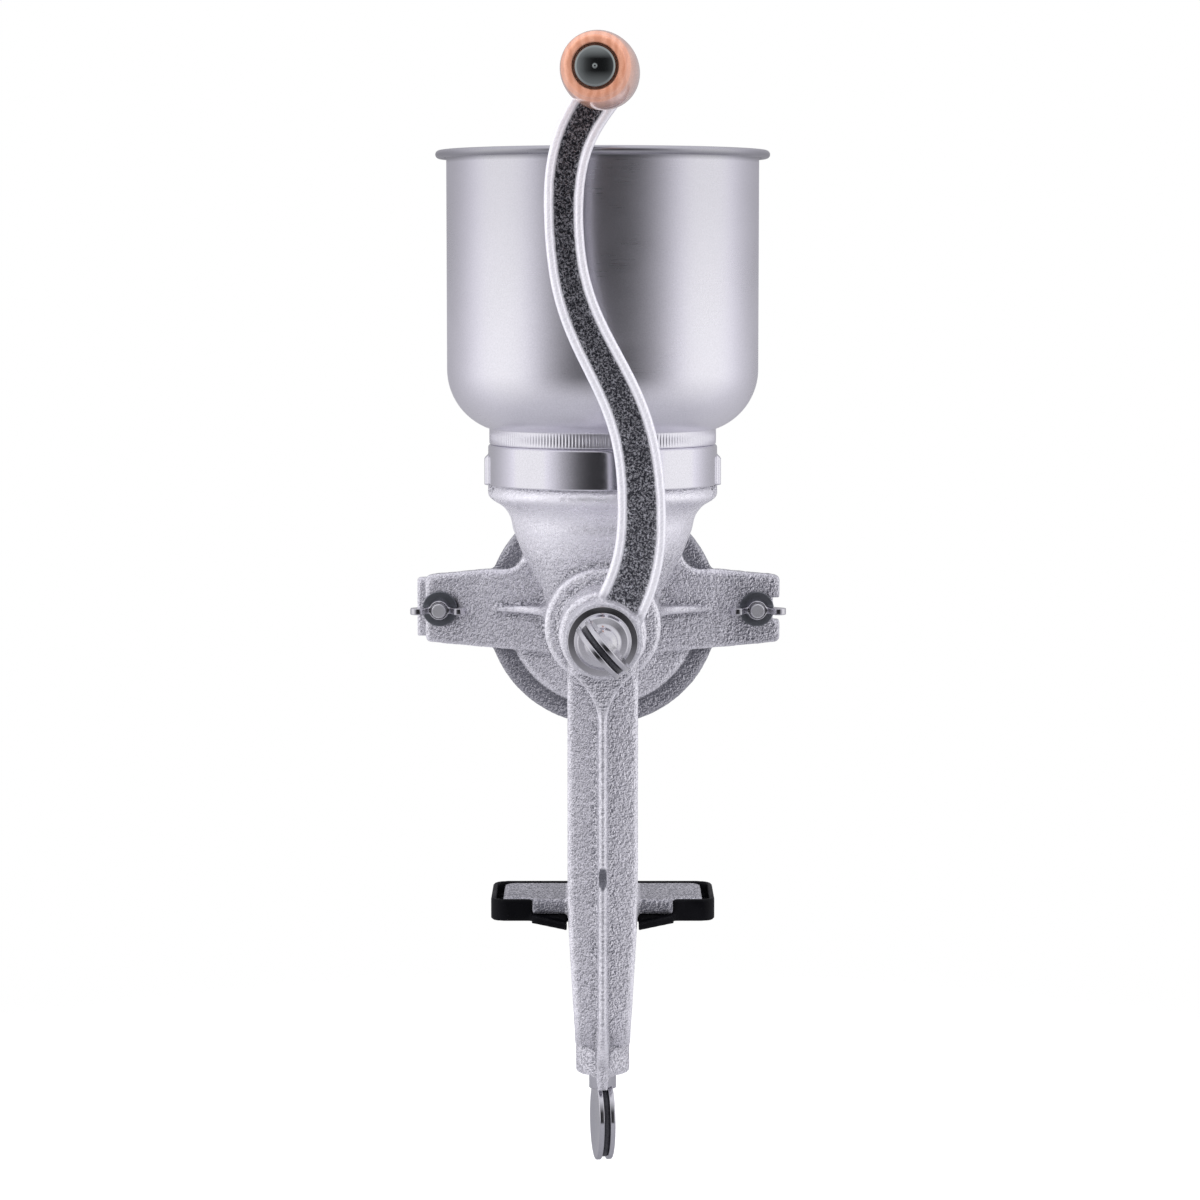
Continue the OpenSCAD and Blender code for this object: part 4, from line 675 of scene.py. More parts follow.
square_profile = [(0, AUGER_LOW.y), (1, AUGER_LOW.y), (1, square_end), (0, square_end)]


def squared(angle, along, radius):
    """From a circle of radius 1 to a square with its corners cut round: the distance
    to the nearer flat."""
    reach = SQUARE_HALF_W / np.maximum(np.abs(np.cos(angle)), np.abs(np.sin(angle)))
    reach = np.minimum(reach, SQUARE_HALF_W * 1.34)
    return (reach - 1) * (radius > 0.5)


square = placed(turned("auger_square", square_profile, ON_AXIS, BACK, 96, squared),
                auger_metal, "rotor", "casting")
square.data.set_sharp_from_angle(angle=math.radians(35))

# Thrust washer and ball: a plain bronze ring in front, and a hardened steel ball
# behind, that take the auger's push.

bronze = satin_metal("bearing_bronze", Colour=(0.62, 0.42, 0.19, 1), Smoothness=0.32)
RING_BORE_R, RING_ROUND = 0.00795, 0.0003
low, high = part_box("thrust_washer")
ring = softened([(RING_BORE_R, low.y + 0.0004, 0), (RING_BORE_R, low.y, 0),
                 (high.x, low.y, RING_ROUND), (high.x, high.y, RING_ROUND),
                 (RING_BORE_R, high.y, 0), (RING_BORE_R, low.y + 0.0004, 0)])[:-1]
placed(turned("thrust_ring", ring, ON_AXIS, BACK, 72, closed=True),
       bronze, "rotor", "bronze", "thrust_washer")

polished = satin_metal("polished_nickel", Colour=(0.70, 0.69, 0.73, 1), Smoothness=0.10,
                       Scratch_height=0.0000015)
low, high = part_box("thrust_ball")
ball_r = (high.y - low.y) / 2
ball_profile = arc((0, (low.y + high.y) / 2), ball_r, -90, 90, 24)
placed(turned("thrust_ball_steel", ball_profile, ON_AXIS, BACK, 48),
       polished, "thrust", "bright_steel", "thrust_ball")

# Grinding plates, their screws, the carrier and its pin: hard grey iron ground on
# the face, on a cast carrier that is pinned to the auger.

ground_iron = satin_metal("ground_iron", Colour=(0.26, 0.26, 0.28, 1), Smoothness=0.42,
                          Scratch_height=0.00003, Scratch_stretch=1.0)
plain_steel = satin_metal("zinc_steel", 0.6, Colour=(0.62, 0.62, 0.65, 1), Smoothness=0.28,
                          Scratch_stretch=1.0)


def finished(material, *node_names):
    """Gives CAD nodes that are shown as they are a material of this script."""
    for node_name in node_names:
        nodes[node_name].data.materials.clear()
        nodes[node_name].data.materials.append(material)


finished(ground_iron, "fixed_plate", "turning_plate")
finished(plain_steel, "fixed_plate_screws", "turning_plate_screws", "drive_pin")
dressed(rounded_copy("plate_carrier", "carrier_casting", cube=0.0009, passes=2, grain=0.00007),
        tinned, "rotor")

# Yoke: a second tinned casting that bridges the plates. Two round-headed bolts
# hold it to the arms, and its boss is tapped for the adjusting screw.

dressed(rounded_copy("yoke", "yoke_casting", cube=0.0009, passes=3, grain=0.00009),
        tinned, "mill")


def thread(pitch, depth, start, end):
    """A screw thread: a triangle wave of the angle plus the travel over the pitch,
    cut inwards between start and end."""
    def cut(angle, along, radius):
        phase = (along / pitch - angle / (2 * np.pi)) % 1
        wave = np.abs(2 * phase - 1)
        inside = np.clip(np.minimum(along - start, end - along) / pitch, 0, 1)
        return -depth * wave * inside * (radius > 0.6 * np.max(radius))
    return cut


low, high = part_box("yoke_bolts")
M6_R, M6_PITCH, M6_DEPTH, M6_THREAD_END = 0.0030, 0.001, 0.00045, 0.060
HEAD_H, HEAD_R, HEAD_EDGE = 0.0036, 0.0060, 0.0004
HEAD_Y = high.y - HEAD_H
bolt_points = np.concatenate([
    densified(softened([(0, low.y, 0), (M6_R, low.y, 0.0006), (M6_R, HEAD_Y, 0)]), M6_PITCH / 5),
    [[HEAD_R, HEAD_Y]],
    arc((0, HEAD_Y + HEAD_EDGE), (HEAD_R, HEAD_H - HEAD_EDGE), 8, 90, 6)])


def middle_of(node_name):
    """The line through the middle of a washer, as its x and z at y = 0."""
    low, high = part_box(node_name)
    return (low.x + high.x) / 2, 0, (low.z + high.z) / 2


for side, replaced in (("left", ["yoke_bolts"]), ("right", [])):
    placed(turned(f"yoke_bolt_{side}", bolt_points, middle_of(f"washer_{side}"), BACK, 48,
                  thread(M6_PITCH, M6_DEPTH, low.y, M6_THREAD_END)),
           plain_steel, "mill", "bright_steel", *replaced)
finished(plain_steel, "lock_nut")

# Adjusting screw: forged, with an oval paddle whose edge has a groove, so that it
# looks like two thin rails, and plated with polished nickel. A thin black band in the
# groove is painted shade. The thumb screw and the clamp have the same paddle.

PADDLE_HALF_W, PADDLE_L, PADDLE_T, PADDLE_BURY = 0.0124, 0.0330, 0.0066, 0.002
GROOVE_W, GROOVE_D, SHADE_BAND_T, SHADE_BAND_SET = 0.0026, 0.0016, 0.0004, 0.0002
NECK_R, NECK_L = 0.0056, 0.005


def round_oval(section, foot, outwards, level):
    """A section of inset and height carried round the paddle's oval: at each angle a
    point lies inset from the oval's edge and height to one side of its plane. foot is
    where the neck starts, outwards its direction, level the way of the oval's width."""
    outwards, level = np.asarray(outwards, float), np.asarray(level, float)
    face = np.cross(outwards, level)
    inset, height = section[:, 0][:, None], section[:, 1][:, None]
    angle = np.linspace(0, 2 * np.pi, 120, endpoint=False)[None, :]
    middle = foot + outwards * (NECK_L + PADDLE_L / 2 - PADDLE_BURY)
    x, z = (PADDLE_HALF_W - inset) * np.cos(angle), (PADDLE_L / 2 - inset) * np.sin(angle)
    oval = middle + x[..., None] * level + z[..., None] * outwards + height[..., None] * face
    return oval, middle, face


def paddle(name, foot, outwards, level):
    """An oval plate with a grooved edge: a profile from near the middle of one face,
    over the rail, down into the groove and up to the other face is carried round the
    oval, and each face is closed by smaller ovals down to its middle."""
    half_t, half_g = PADDLE_T / 2, GROOVE_W / 2
    edge = softened([(0.009, half_t - 0.0004, 0), (0.0012, half_t, 0.004), (0, half_t, 0.0009),
                     (0, half_g, 0.0004), (GROOVE_D, half_g - 0.0003, 0.0005),
                     (GROOVE_D, 0, 0)], 6)
    edge = np.concatenate([edge, edge[-2::-1] * [1, -1]])
    rim, middle, face = round_oval(edge, foot, outwards, level)
    up = face * edge[0, 1]
    near = [rim[0][None, :] * s + (middle + up) * (1 - s) for s in (0, 0.4, 0.75)]
    far = [rim[-1][None, :] * s + (middle - up) * (1 - s) for s in (0.75, 0.4, 0)]
    return grid_mesh(name, np.concatenate(near + [rim] + far))


def groove_shade_band(name, foot, outwards, level):
    """Painted shade in a paddle's groove: a thin flat black band round the same oval, its
    section a rectangle a little narrower than the groove."""
    half = GROOVE_W / 2 - SHADE_BAND_T
    section = np.array([[GROOVE_D - SHADE_BAND_T, -half], [GROOVE_D - SHADE_BAND_T, half],
                        [GROOVE_D + SHADE_BAND_SET, half], [GROOVE_D + SHADE_BAND_SET, -half]])
    return grid_mesh(name, round_oval(section, foot, outwards, level)[0], closed_rows=True)


def joined(name, meshes):
    """Several meshes as one."""
    whole = bmesh.new()
    for mesh in meshes:
        whole.from_mesh(mesh)
    mesh = bpy.data.meshes.new(name)
    whole.to_mesh(mesh)
    whole.free()
    mesh.shade_smooth()
    return mesh


# Near-black painted shade for the paddle grooves.
groove_shade_black = satin_metal("groove_painted_shade", 0.5, Colour=(0.020, 0.020, 0.026, 1),
                          Smoothness=0.35)
M12_R, M12_PITCH, M12_DEPTH, SCREW_TIP_R = 0.0059, 0.00175, 0.0009, 0.0042
SCREW_START, SCREW_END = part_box("adjusting_screw")[0].y, 0.14895
neck_end = SCREW_END + NECK_L + 0.001
rod = densified(softened([
    (0, SCREW_START, 0), (SCREW_TIP_R, SCREW_START, 0.0003), (M12_R, SCREW_START + 0.0012, 0.0004),
    (M12_R, SCREW_END, 0.0004), (NECK_R, SCREW_END, 0.0004), (NECK_R, neck_end, 0),
    (0, neck_end, 0)]), M12_PITCH / 6)
adjuster_paddle = (np.array([0, SCREW_END, AUGER_Z]), BACK, (1, 0, 0))
placed(joined("adjuster", [
    turned("adjuster_rod", rod, ON_AXIS, BACK, 64,
           thread(M12_PITCH, M12_DEPTH, SCREW_START + 0.001, SCREW_END - 0.001)),
    paddle("adjuster_paddle", *adjuster_paddle)]),
    polished, "adjuster", "bright_steel", "adjusting_screw")
placed(groove_shade_band("adjuster_groove_shade", *adjuster_paddle), groove_shade_black, "adjuster", "dark_steel")

# Washers and wing nuts in front of the arms: darkened washers, and nickel-plated
# nuts whose two thin wings lie level.

darkened = satin_metal("darkened_steel", 0.7, Colour=(0.15, 0.16, 0.18, 1), Smoothness=0.30,
                       Scratch_height=0.00001)
WASHER_BORE_R, WASHER_ROUND = 0.00305, 0.0004
for side in ("left", "right"):
    low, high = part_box(f"washer_{side}")
    half = (high.x - low.x) / 2
    rim = softened([(WASHER_BORE_R, low.y + 0.0005, 0), (WASHER_BORE_R, low.y, 0.0001),
                    (half, low.y, WASHER_ROUND), (half, high.y, WASHER_ROUND),
                    (WASHER_BORE_R, high.y, 0.0001), (WASHER_BORE_R, low.y + 0.0005, 0)])[:-1]
    placed(turned(f"washer_ring_{side}", rim, middle_of(f"washer_{side}"), BACK, 64, closed=True),
           darkened, f"{side}_washer", "dark_steel", f"washer_{side}")
    dressed(rounded_copy(f"wing_nut_{side}", f"wing_nut_plated_{side}", cube=0.00030, passes=3),
            polished, f"{side}_nut")

# Crank arm: cast in an S, its two rims ground bright and the channel between them
# left dark and sparkling from the mould.

arm = rounded_copy("crank_arm", "crank_casting", cube=0.00062, passes=20, grain=0.00002, lump=0.0008)
arm_points, arm_normals = points_of(arm.data), normals_of(arm.data)
ARM_FRONT, ARM_T, CHANNEL_SET, CHANNEL_FADE = HUB_FRONT + 0.0020, 0.0110, 0.0012, 0.0012
EYE_X, EYE_Z = 0.0030, AUGER_Z + 0.2177
HUB_RIM_R, EYE_RIM_R, HUB_DULL_R, HUB_FADE = 0.0160, 0.0098, 0.0190, 0.0020
x, y, z = arm_points.T
from_face = np.minimum(y - ARM_FRONT, ARM_FRONT + ARM_T - y)
hub_far, eye_far = np.hypot(x, z - AUGER_Z), np.hypot(x - EYE_X, z - EYE_Z)
sunk = (np.clip((from_face - CHANNEL_SET) / CHANNEL_FADE, 0, 1)
        * np.clip((np.abs(arm_normals[:, 1]) - 0.35) / 0.3, 0, 1)
        * (hub_far > HUB_RIM_R) * (eye_far > EYE_RIM_R))
set_values(arm.data, "sunk", sunk)
set_values(arm.data, "hub", np.clip((HUB_DULL_R - hub_far) / HUB_FADE, 0, 1))

DARK_LOW, DARK_HIGH = AUGER_Z + 0.02, AUGER_Z + 0.16
crank_metal, tree, metal = new_material("crank_ground_and_dark")
place = add(tree, "ShaderNodeTexCoord").outputs["Object"]
channel = add(tree, "ShaderNodeAttribute", attribute_name="sunk").outputs["Fac"]
skin = tree.nodes.new("ShaderNodeGroup")
skin.node_tree = cast_skin
skin.inputs["Grain height"].default_value = 0.00007
skin.inputs["Smoothness"].default_value = 0.36
skin.inputs["Bright"].default_value = (0.94, 0.93, 0.98, 1)
skin.inputs["Dark"].default_value = (0.74, 0.73, 0.80, 1)
spark = add(tree, "ShaderNodeTexNoise", Vector=place, Scale=1250.0, Detail=3.0, Roughness=0.65,
            Distortion=0.8).outputs["Fac"]
near_hub = spread(tree, add(tree, "ShaderNodeSeparateXYZ", Vector=place).outputs["Z"],
                  DARK_LOW, DARK_HIGH, 1.0, 0.0)
pit = blended(tree, near_hub, (0.014, 0.015, 0.020, 1), (0.070, 0.071, 0.085, 1))
glint = blended(tree, near_hub, (0.40, 0.40, 0.44, 1), (0.85, 0.85, 0.92, 1))
dark = blended(tree, spread(tree, spark, 0.47, 0.64, 0.0, 1.0), pit, glint)
tree.links.new(spread(tree, channel, 0.0, 1.0, 0.30, 0.85), metal.inputs["Metallic"])
hub = add(tree, "ShaderNodeAttribute", attribute_name="hub").outputs["Fac"]
duller = blended(tree, sum_of(tree, "MULTIPLY", hub, spread(tree, spark, 0.35, 0.65, 1.0, 0.45)),
                 skin.outputs["Colour"], (0.34, 0.335, 0.38, 1))
tree.links.new(blended(tree, channel, duller, dark), metal.inputs["Base Color"])
rough = sum_of(tree, "ADD", sum_of(tree, "MULTIPLY", skin.outputs["Roughness"],
                                   sum_of(tree, "SUBTRACT", 1.0, channel)),
               sum_of(tree, "MULTIPLY", channel, 0.34))
tree.links.new(rough, metal.inputs["Roughness"])
rise = add(tree, "ShaderNodeBump", Strength=1.0, Distance=0.00035,
           Height=sum_of(tree, "MULTIPLY", spark, channel))
tree.links.new(skin.outputs["Normal"], rise.inputs["Normal"])
tree.links.new(rise.outputs["Normal"], metal.inputs["Normal"])
dressed(arm, crank_metal, "rotor")

# Thumb screw: turned and plated like the adjusting screw, with a flange, a low dome
# and the same grooved paddle, left standing aslant. Its shank runs into the auger's
# square end and holds the crank on it.

FORWARD = (0.0, -1.0, 0.0)
FLANGE_R, FLANGE_T, BEVEL_R, DOME_R, SHOULDER_R = 0.0138, 0.0014, 0.0112, 0.0099, 0.0070
THUMB_NECK, THUMB_FOOT, THUMB_TURN = 0.0140, 0.00905, math.radians(40)
SHANK_R, SHANK_L = 0.0030, 0.0175
dome_start = -HUB_FRONT + 0.00005
dome_profile = np.concatenate([
    [[0, dome_start]],
    softened([(0.0100, dome_start, 0), (FLANGE_R, dome_start, 0.0003),
              (FLANGE_R, dome_start + FLANGE_T, 0.0003), (BEVEL_R, dome_start + 0.0018, 0.0002),
              (DOME_R, dome_start + 0.0042, 0.0010), (SHOULDER_R, dome_start + 0.0052, 0.0030),
              (NECK_R, dome_start + 0.0064, 0)]),
    [[NECK_R, dome_start + THUMB_NECK], [0, dome_start + THUMB_NECK]]])
shank_profile = [(0, dome_start - SHANK_L), (SHANK_R, dome_start - SHANK_L + 0.0005),
                 (SHANK_R, dome_start + 0.001), (0, dome_start + 0.001)]
thumb_paddle = (np.array([0, HUB_FRONT - THUMB_FOOT, AUGER_Z]), FORWARD,
                (math.sin(THUMB_TURN), 0, -math.cos(THUMB_TURN)))
placed(joined("thumb_screw_polished", [
    turned("thumb_dome", dome_profile, ON_AXIS, FORWARD, 96),
    turned("thumb_shank", shank_profile, ON_AXIS, FORWARD, 40),
    paddle("thumb_paddle", *thumb_paddle)]),
    polished, "rotor", "bright_steel", "thumb_screw")
placed(groove_shade_band("thumb_groove_shade", *thumb_paddle), groove_shade_black, "rotor", "dark_steel")

# Grip: turned beech under clear lacquer, loose on a bolt whose polished head sits in
# a recess at the near end, with a nut behind the arm. Grip and bolt lean a little to
# the left, so their profiles run from the front of the crank's eye.

LEAN = math.radians(3.6)
EYE = (EYE_X, HUB_FRONT + 0.0010, EYE_Z)
OUT = (-math.sin(LEAN), -math.cos(LEAN), 0.0)
GRIP_START, GRIP_L, GRIP_R, GRIP_BORE_R = 0.0009, 0.0930, 0.0142, 0.0041
ARM_END_R, NEAR_END_R, WIDEST, RECESS_R, RECESS_D = 0.0104, 0.0112, 0.68, 0.0084, 0.0045
share = np.linspace(0.03, 0.965, 60)
swelling = np.where(
    share < WIDEST,
    ARM_END_R + (GRIP_R - ARM_END_R) * np.sin(np.pi / 2 * share / WIDEST) ** 1.3,
    NEAR_END_R + (GRIP_R - NEAR_END_R) * np.sqrt(
        np.clip(1 - ((share - WIDEST) / (1 - WIDEST)) ** 2, 0, 1)))
end = GRIP_START + GRIP_L
grip_profile = np.concatenate([
    softened([(GRIP_BORE_R, GRIP_START + 0.01, 0), (GRIP_BORE_R, GRIP_START, 0.0004),
              (ARM_END_R - 0.0002, GRIP_START, 0.0016),
              (ARM_END_R + 0.0001, GRIP_START + 0.0028, 0)]),
    np.stack([swelling, GRIP_START + share * GRIP_L], 1),
    softened([(NEAR_END_R + 0.0006, end - 0.0022, 0), (NEAR_END_R, end, 0.0018),
              (RECESS_R, end, 0.0007), (RECESS_R, end - RECESS_D, 0.0003),
              (GRIP_BORE_R, end - RECESS_D, 0.0002), (GRIP_BORE_R, end - RECESS_D - 0.004, 0)])])
wood, tree, shell = new_material("lacquered_wood")
place = add(tree, "ShaderNodeTexCoord").outputs["Object"]
fibre = add(tree, "ShaderNodeMapping", Vector=place)
fibre.inputs["Scale"].default_value = (1.0, 0.06, 1.0)
rings = add(tree, "ShaderNodeTexWave", Vector=fibre.outputs["Vector"], wave_type="BANDS",
            bands_direction="X", Scale=95.0, Distortion=5.0, Detail=2.0,
            Detail_Scale=1.6).outputs["Fac"]
streak = add(tree, "ShaderNodeTexNoise", Vector=fibre.outputs["Vector"], Scale=2300.0,
             Detail=3.0).outputs["Fac"]
warm = add(tree, "ShaderNodeTexNoise", Vector=place, Scale=34.0, Detail=2.0).outputs["Fac"]
tone = blended(tree, spread(tree, rings, 0.2, 0.9, 0.0, 0.55), (0.76, 0.36, 0.23, 1),
               (0.54, 0.185, 0.09, 1))
tone = blended(tree, spread(tree, streak, 0.45, 0.75, 0.0, 0.45), tone, (0.46, 0.16, 0.08, 1))
tone = blended(tree, spread(tree, warm, 0.35, 0.65, 0.0, 0.35), tone, (0.74, 0.42, 0.30, 1))
tree.links.new(tone, shell.inputs["Base Color"])
tree.links.new(spread(tree, streak, 0.3, 0.7, 0.34, 0.46), shell.inputs["Roughness"])
shell.inputs["Coat Weight"].default_value = 1.0
shell.inputs["Coat Roughness"].default_value = 0.07
tree.links.new(add(tree, "ShaderNodeBump", Strength=0.4, Distance=0.00006,
                   Height=streak).outputs["Normal"], shell.inputs["Normal"])
placed(turned("grip_wood_turned", grip_profile, EYE, OUT, 128, closed=True),
       wood, "grip", "grip_wood", "wooden_grip")

# The bolt's polished head is the same nickel with a darker colour: painted shade.
shaded_nickel = satin_metal("nickel_with_painted_shade", Colour=(0.30, 0.33, 0.32, 1), Smoothness=0.07,
                          Scratch_height=0.000003)
M8_R, M8_PITCH, M8_DEPTH = 0.0040, 0.00125, 0.0005
BOLT_TAIL, TAIL_THREAD_L, HEAD_SIDE_R, HEAD_SIDE_H = 0.0161, 0.0040, 0.0074, 0.0045
head_foot = end - RECESS_D + 0.0003
tail_thread = -BOLT_TAIL + TAIL_THREAD_L
grip_bolt_profile = np.concatenate([
    [[0, -BOLT_TAIL], [M8_R - 0.0004, -BOLT_TAIL], [M8_R, -BOLT_TAIL + 0.0006]],
    densified([[M8_R, -BOLT_TAIL + 0.0008], [M8_R, tail_thread]], 0.0002),
    [[M8_R, head_foot]],
    softened([(0.0045, head_foot, 0), (HEAD_SIDE_R, head_foot, 0.0003),
              (HEAD_SIDE_R, head_foot + HEAD_SIDE_H, 0.0003), (0.0070, head_foot + 0.0049, 0)]),
    arc((0, head_foot - 0.0130), (0.0200, 0.0192), 69.8, 88, 16),
    arc((0, head_foot + 0.0057), (0.0010, 0.0008), 0, 90, 5)])
placed(turned("grip_bolt_polished", grip_bolt_profile, EYE, OUT, 96,
              thread(M8_PITCH, M8_DEPTH, -BOLT_TAIL, tail_thread)),
       shaded_nickel, "rotor", "bright_steel", "grip_bolt")
finished(plain_steel, "grip_nut")

# Clamp: a threaded spindle with the grooved paddle below, and a turned cup that
# swivels on the spindle's ball end and presses on the table from below. Both are
# steel plated with polished nickel.

CUP_LOW, CUP_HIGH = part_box("clamp_cup")
DOWN, SPINDLE_AXIS = (0.0, 0.0, -1.0), (0, 0, 0)
M10_R, M10_PITCH, M10_DEPTH = 0.0050, 0.0015, 0.0008
PADDLE_TOP, CLAMP_TURN = -0.06805, math.radians(100)
BALL_NECK_R, BALL_R, CUP_BORE_R = 0.0022, 0.0032, 0.0035
spindle_top = CUP_LOW.z - 0.0003
spindle_profile = densified(softened([
    (0, PADDLE_TOP - 0.0055, 0), (NECK_R, PADDLE_TOP - 0.0055, 0), (NECK_R, PADDLE_TOP, 0.0004),
    (M10_R, PADDLE_TOP, 0.0003), (M10_R, spindle_top, 0.0006), (BALL_NECK_R, spindle_top, 0.0003),
    (BALL_NECK_R, CUP_LOW.z + 0.0006, 0), (0, CUP_LOW.z + 0.0006, 0)]), M10_PITCH / 6)
spindle_ball = arc((0, CUP_LOW.z + 0.00128), BALL_R, -60, 90, 12)
clamp_paddle = (np.array([0, 0, PADDLE_TOP]), DOWN,
                (math.cos(CLAMP_TURN), math.sin(CLAMP_TURN), 0))
placed(joined("clamp_spindle", [
    turned("spindle_rod", spindle_profile, SPINDLE_AXIS, UP, 56,
           thread(M10_PITCH, M10_DEPTH, PADDLE_TOP + 0.0005, spindle_top - 0.001)),
    turned("spindle_ball", np.concatenate([[[0, spindle_ball[0, 1]]], spindle_ball]),
           SPINDLE_AXIS, UP, 40),
    paddle("clamp_paddle", *clamp_paddle)]),
    polished, "spindle", "bright_steel", "clamp_screw")
placed(groove_shade_band("clamp_groove_shade", *clamp_paddle), groove_shade_black, "spindle", "dark_steel")
cup_r = (CUP_HIGH.x - CUP_LOW.x) / 2
cup_profile = np.concatenate([
    softened([(CUP_BORE_R, CUP_LOW.z + 0.0022, 0), (CUP_BORE_R, CUP_LOW.z, 0.0003),
              (cup_r - 0.002, CUP_LOW.z, 0.0008), (cup_r, CUP_LOW.z + 0.0028, 0.0008),
              (cup_r, CUP_HIGH.z, 0.0006), (0, CUP_HIGH.z, 0)]),
    [[0.0001, CUP_LOW.z + 0.0042], [0.003, CUP_LOW.z + 0.003]]])
placed(turned("clamp_cup_turned", cup_profile, SPINDLE_AXIS, UP, 72, closed=True),
       polished, "cup", "bright_steel", "clamp_cup")

# Studio floor: white paper, lower than the clamp reaches when it is wound right down.
# It fades out to a white surround, so only the mill's shadow shows on it, and it
# can't be seen from below.

CLAMP_TRAVEL, CLEAR_BELOW = 0.0195, 0.0015
FLOOR_HALF_W, FLOOR_NEAR, FLOOR_FAR = 1, 0.22, 0.50
floor_z = cad_low[2] - CLAMP_TRAVEL - CLEAR_BELOW
floor_mesh = bpy.data.meshes.new("studio_floor")
floor_mesh.from_pydata([(x * FLOOR_HALF_W, y * FLOOR_HALF_W, floor_z)
                        for x, y in ((-1, -1), (1, -1), (1, 1), (-1, 1))], [], [(0, 1, 2, 3)])
floor = bpy.data.objects.new("studio_floor", floor_mesh)
bpy.context.scene.collection.objects.link(floor)
paper, tree, shell = new_material("white_paper")
path = add(tree, "ShaderNodeLightPath").outputs
place = add(tree, "ShaderNodeTexCoord").outputs["Object"]
fibres = add(tree, "ShaderNodeTexNoise", Vector=place, Scale=60.0).outputs["Fac"]
white = blended(tree, spread(tree, fibres, 0.3, 0.7, 0, 1), (0.86, 0.86, 0.87, 1),
                (0.88, 0.88, 0.88, 1))
tree.links.new(blended(tree, path["Is Glossy Ray"], white, (0.40, 0.40, 0.42, 1)),
               shell.inputs["Base Color"])
shell.inputs["Roughness"].default_value = 0.9
shell.inputs["Specular IOR Level"].default_value = 0.0
shell.inputs["Emission Color"].default_value = (1, 1, 1, 1)
tree.links.new(sum_of(tree, "MULTIPLY", path["Is Camera Ray"], 0.30),
               shell.inputs["Emission Strength"])
flat = add(tree, "ShaderNodeVectorMath", operation="MULTIPLY")
tree.links.new(place, flat.inputs[0])
flat.inputs[1].default_value = (1, 1, 0)
away = add(tree, "ShaderNodeVectorMath", operation="LENGTH")
tree.links.new(flat.outputs[0], away.inputs[0])
fade = add(tree, "ShaderNodeMapRange", interpolation_type="SMOOTHSTEP", Value=away.outputs["Value"],
           From_Min=FLOOR_NEAR, From_Max=FLOOR_FAR, To_Min=1.0, To_Max=0.0).outputs["Result"]
from_below = add(tree, "ShaderNodeNewGeometry").outputs["Backfacing"]
tree.links.new(sum_of(tree, "MULTIPLY", fade, sum_of(tree, "SUBTRACT", 1.0, from_below)),
               shell.inputs["Alpha"])
floor_mesh.materials.append(paper)
floor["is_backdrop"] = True

# Surround: metal sees it dim where the camera stands and bright at both sides, with a
# soft ceiling and a greyer ground. Matt pieces get one even tone from it.

CAMERA_SIDE = (0.03, -0.9995, 0.0)
ROUND_TONES = [(0.00, 0.40), (0.20, 0.54), (0.38, 0.92), (0.54, 1.28), (0.70, 1.16),
               (0.83, 0.62), (0.92, 0.20), (0.97, 0.05), (1.00, 0.02)]
world = bpy.data.worlds.new("studio")
bpy.context.scene.world = world
world.use_nodes = True
tree = world.node_tree
path = add(tree, "ShaderNodeLightPath").outputs
direction = add(tree, "ShaderNodeSeparateXYZ",
                Vector=add(tree, "ShaderNodeTexCoord").outputs["Generated"]).outputs
level = add(tree, "ShaderNodeVectorMath", operation="NORMALIZE")
tree.links.new(add(tree, "ShaderNodeCombineXYZ", X=direction["X"], Y=direction["Y"],
                   Z=0.0).outputs["Vector"], level.inputs[0])
facing = add(tree, "ShaderNodeVectorMath", operation="DOT_PRODUCT")
tree.links.new(level.outputs[0], facing.inputs[0])
facing.inputs[1].default_value = CAMERA_SIDE
round_share = spread(tree, facing.outputs["Value"], -1, 1, 0, 1)
ramp = tree.nodes.new("ShaderNodeValToRGB")
ramp.color_ramp.interpolation = "B_SPLINE"
while len(ramp.color_ramp.elements) < len(ROUND_TONES):
    ramp.color_ramp.elements.new(0.5)
for element, (position, grey) in zip(ramp.color_ramp.elements, ROUND_TONES):
    element.position = position
    element.color = (grey, grey * 0.988, grey * 1.05, 1)
tree.links.new(round_share, ramp.inputs["Fac"])
overhead = spread(tree, direction["Z"], 0.30, 0.75, 0.0, 1.0)
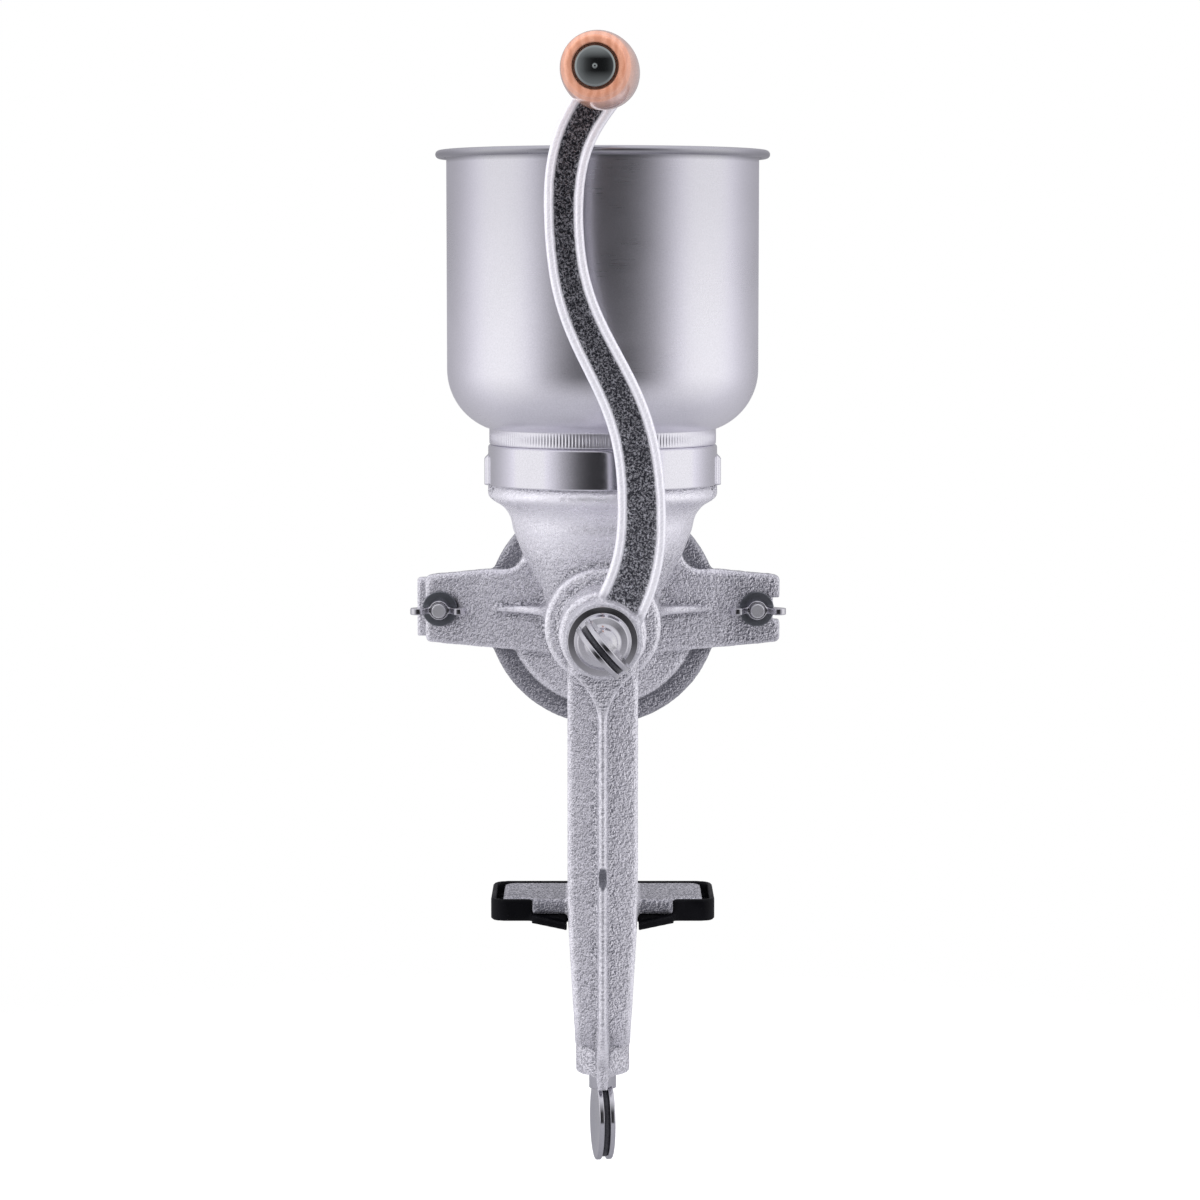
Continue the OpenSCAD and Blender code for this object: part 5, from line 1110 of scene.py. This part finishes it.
underneath = spread(tree, direction["Z"], -0.75, -0.12, 1.0, 0.0)
mirrored = blended(tree, overhead, ramp.outputs["Color"], (0.86, 0.86, 0.90, 1))
mirrored = blended(tree, underneath, mirrored, (0.60, 0.595, 0.63, 1))
glossy = sum_of(tree, "MAXIMUM", path["Is Glossy Ray"], path["Is Transmission Ray"])
tone = blended(tree, glossy, (0.74, 0.735, 0.77, 1), mirrored)
tone = blended(tree, path["Is Camera Ray"], tone, (1, 1, 1, 1))
background = tree.nodes["Background"]
tree.links.new(tone, background.inputs["Color"])
background.inputs["Strength"].default_value = 1.0

# Lamps and camera: three soft lamps that metal doesn't show, so they only light the
# matt pieces and the floor, and a long lens that looks down a little from the height
# of the hopper.

LIT_POINT = (0, 0, 0.15)


def soft_lamp(name, place, width, height, power):
    """A rectangular lamp that faces the mill's middle and isn't seen in metal."""
    lamp = bpy.data.lights.new(name, "AREA")
    lamp.shape = "RECTANGLE"
    lamp.size, lamp.size_y, lamp.energy = width, height, power
    holder = bpy.data.objects.new(name, lamp)
    bpy.context.scene.collection.objects.link(holder)
    holder.location = place
    away = Vector(LIT_POINT) - Vector(place)
    holder.rotation_euler = away.to_track_quat("-Z", "Y").to_euler()
    holder.visible_glossy = False


soft_lamp("lamp_left", (-1.5, -0.55, 0.55), 0.6, 1.3, 15)
soft_lamp("lamp_right", (1.5, -0.45, 0.55), 0.6, 1.3, 8)
soft_lamp("lamp_top", (0.1, -0.5, 1.7), 0.9, 0.7, 12)

CAMERA_PLACE, CAMERA_PITCH_DEG = (-0.0011, -1.4142, 0.2647), 5.487
LENS_MM, SENSOR_MM = 104.31, 36.0
camera = bpy.data.objects.new("camera", bpy.data.cameras.new("camera"))
bpy.context.scene.collection.objects.link(camera)
camera.data.sensor_width = SENSOR_MM
camera.data.lens = LENS_MM
camera.location = CAMERA_PLACE
camera.rotation_euler = (math.radians(90 - CAMERA_PITCH_DEG), 0, 0)
bpy.context.scene.camera = camera
bpy.context.scene.view_settings.view_transform = "Standard"

low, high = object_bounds()
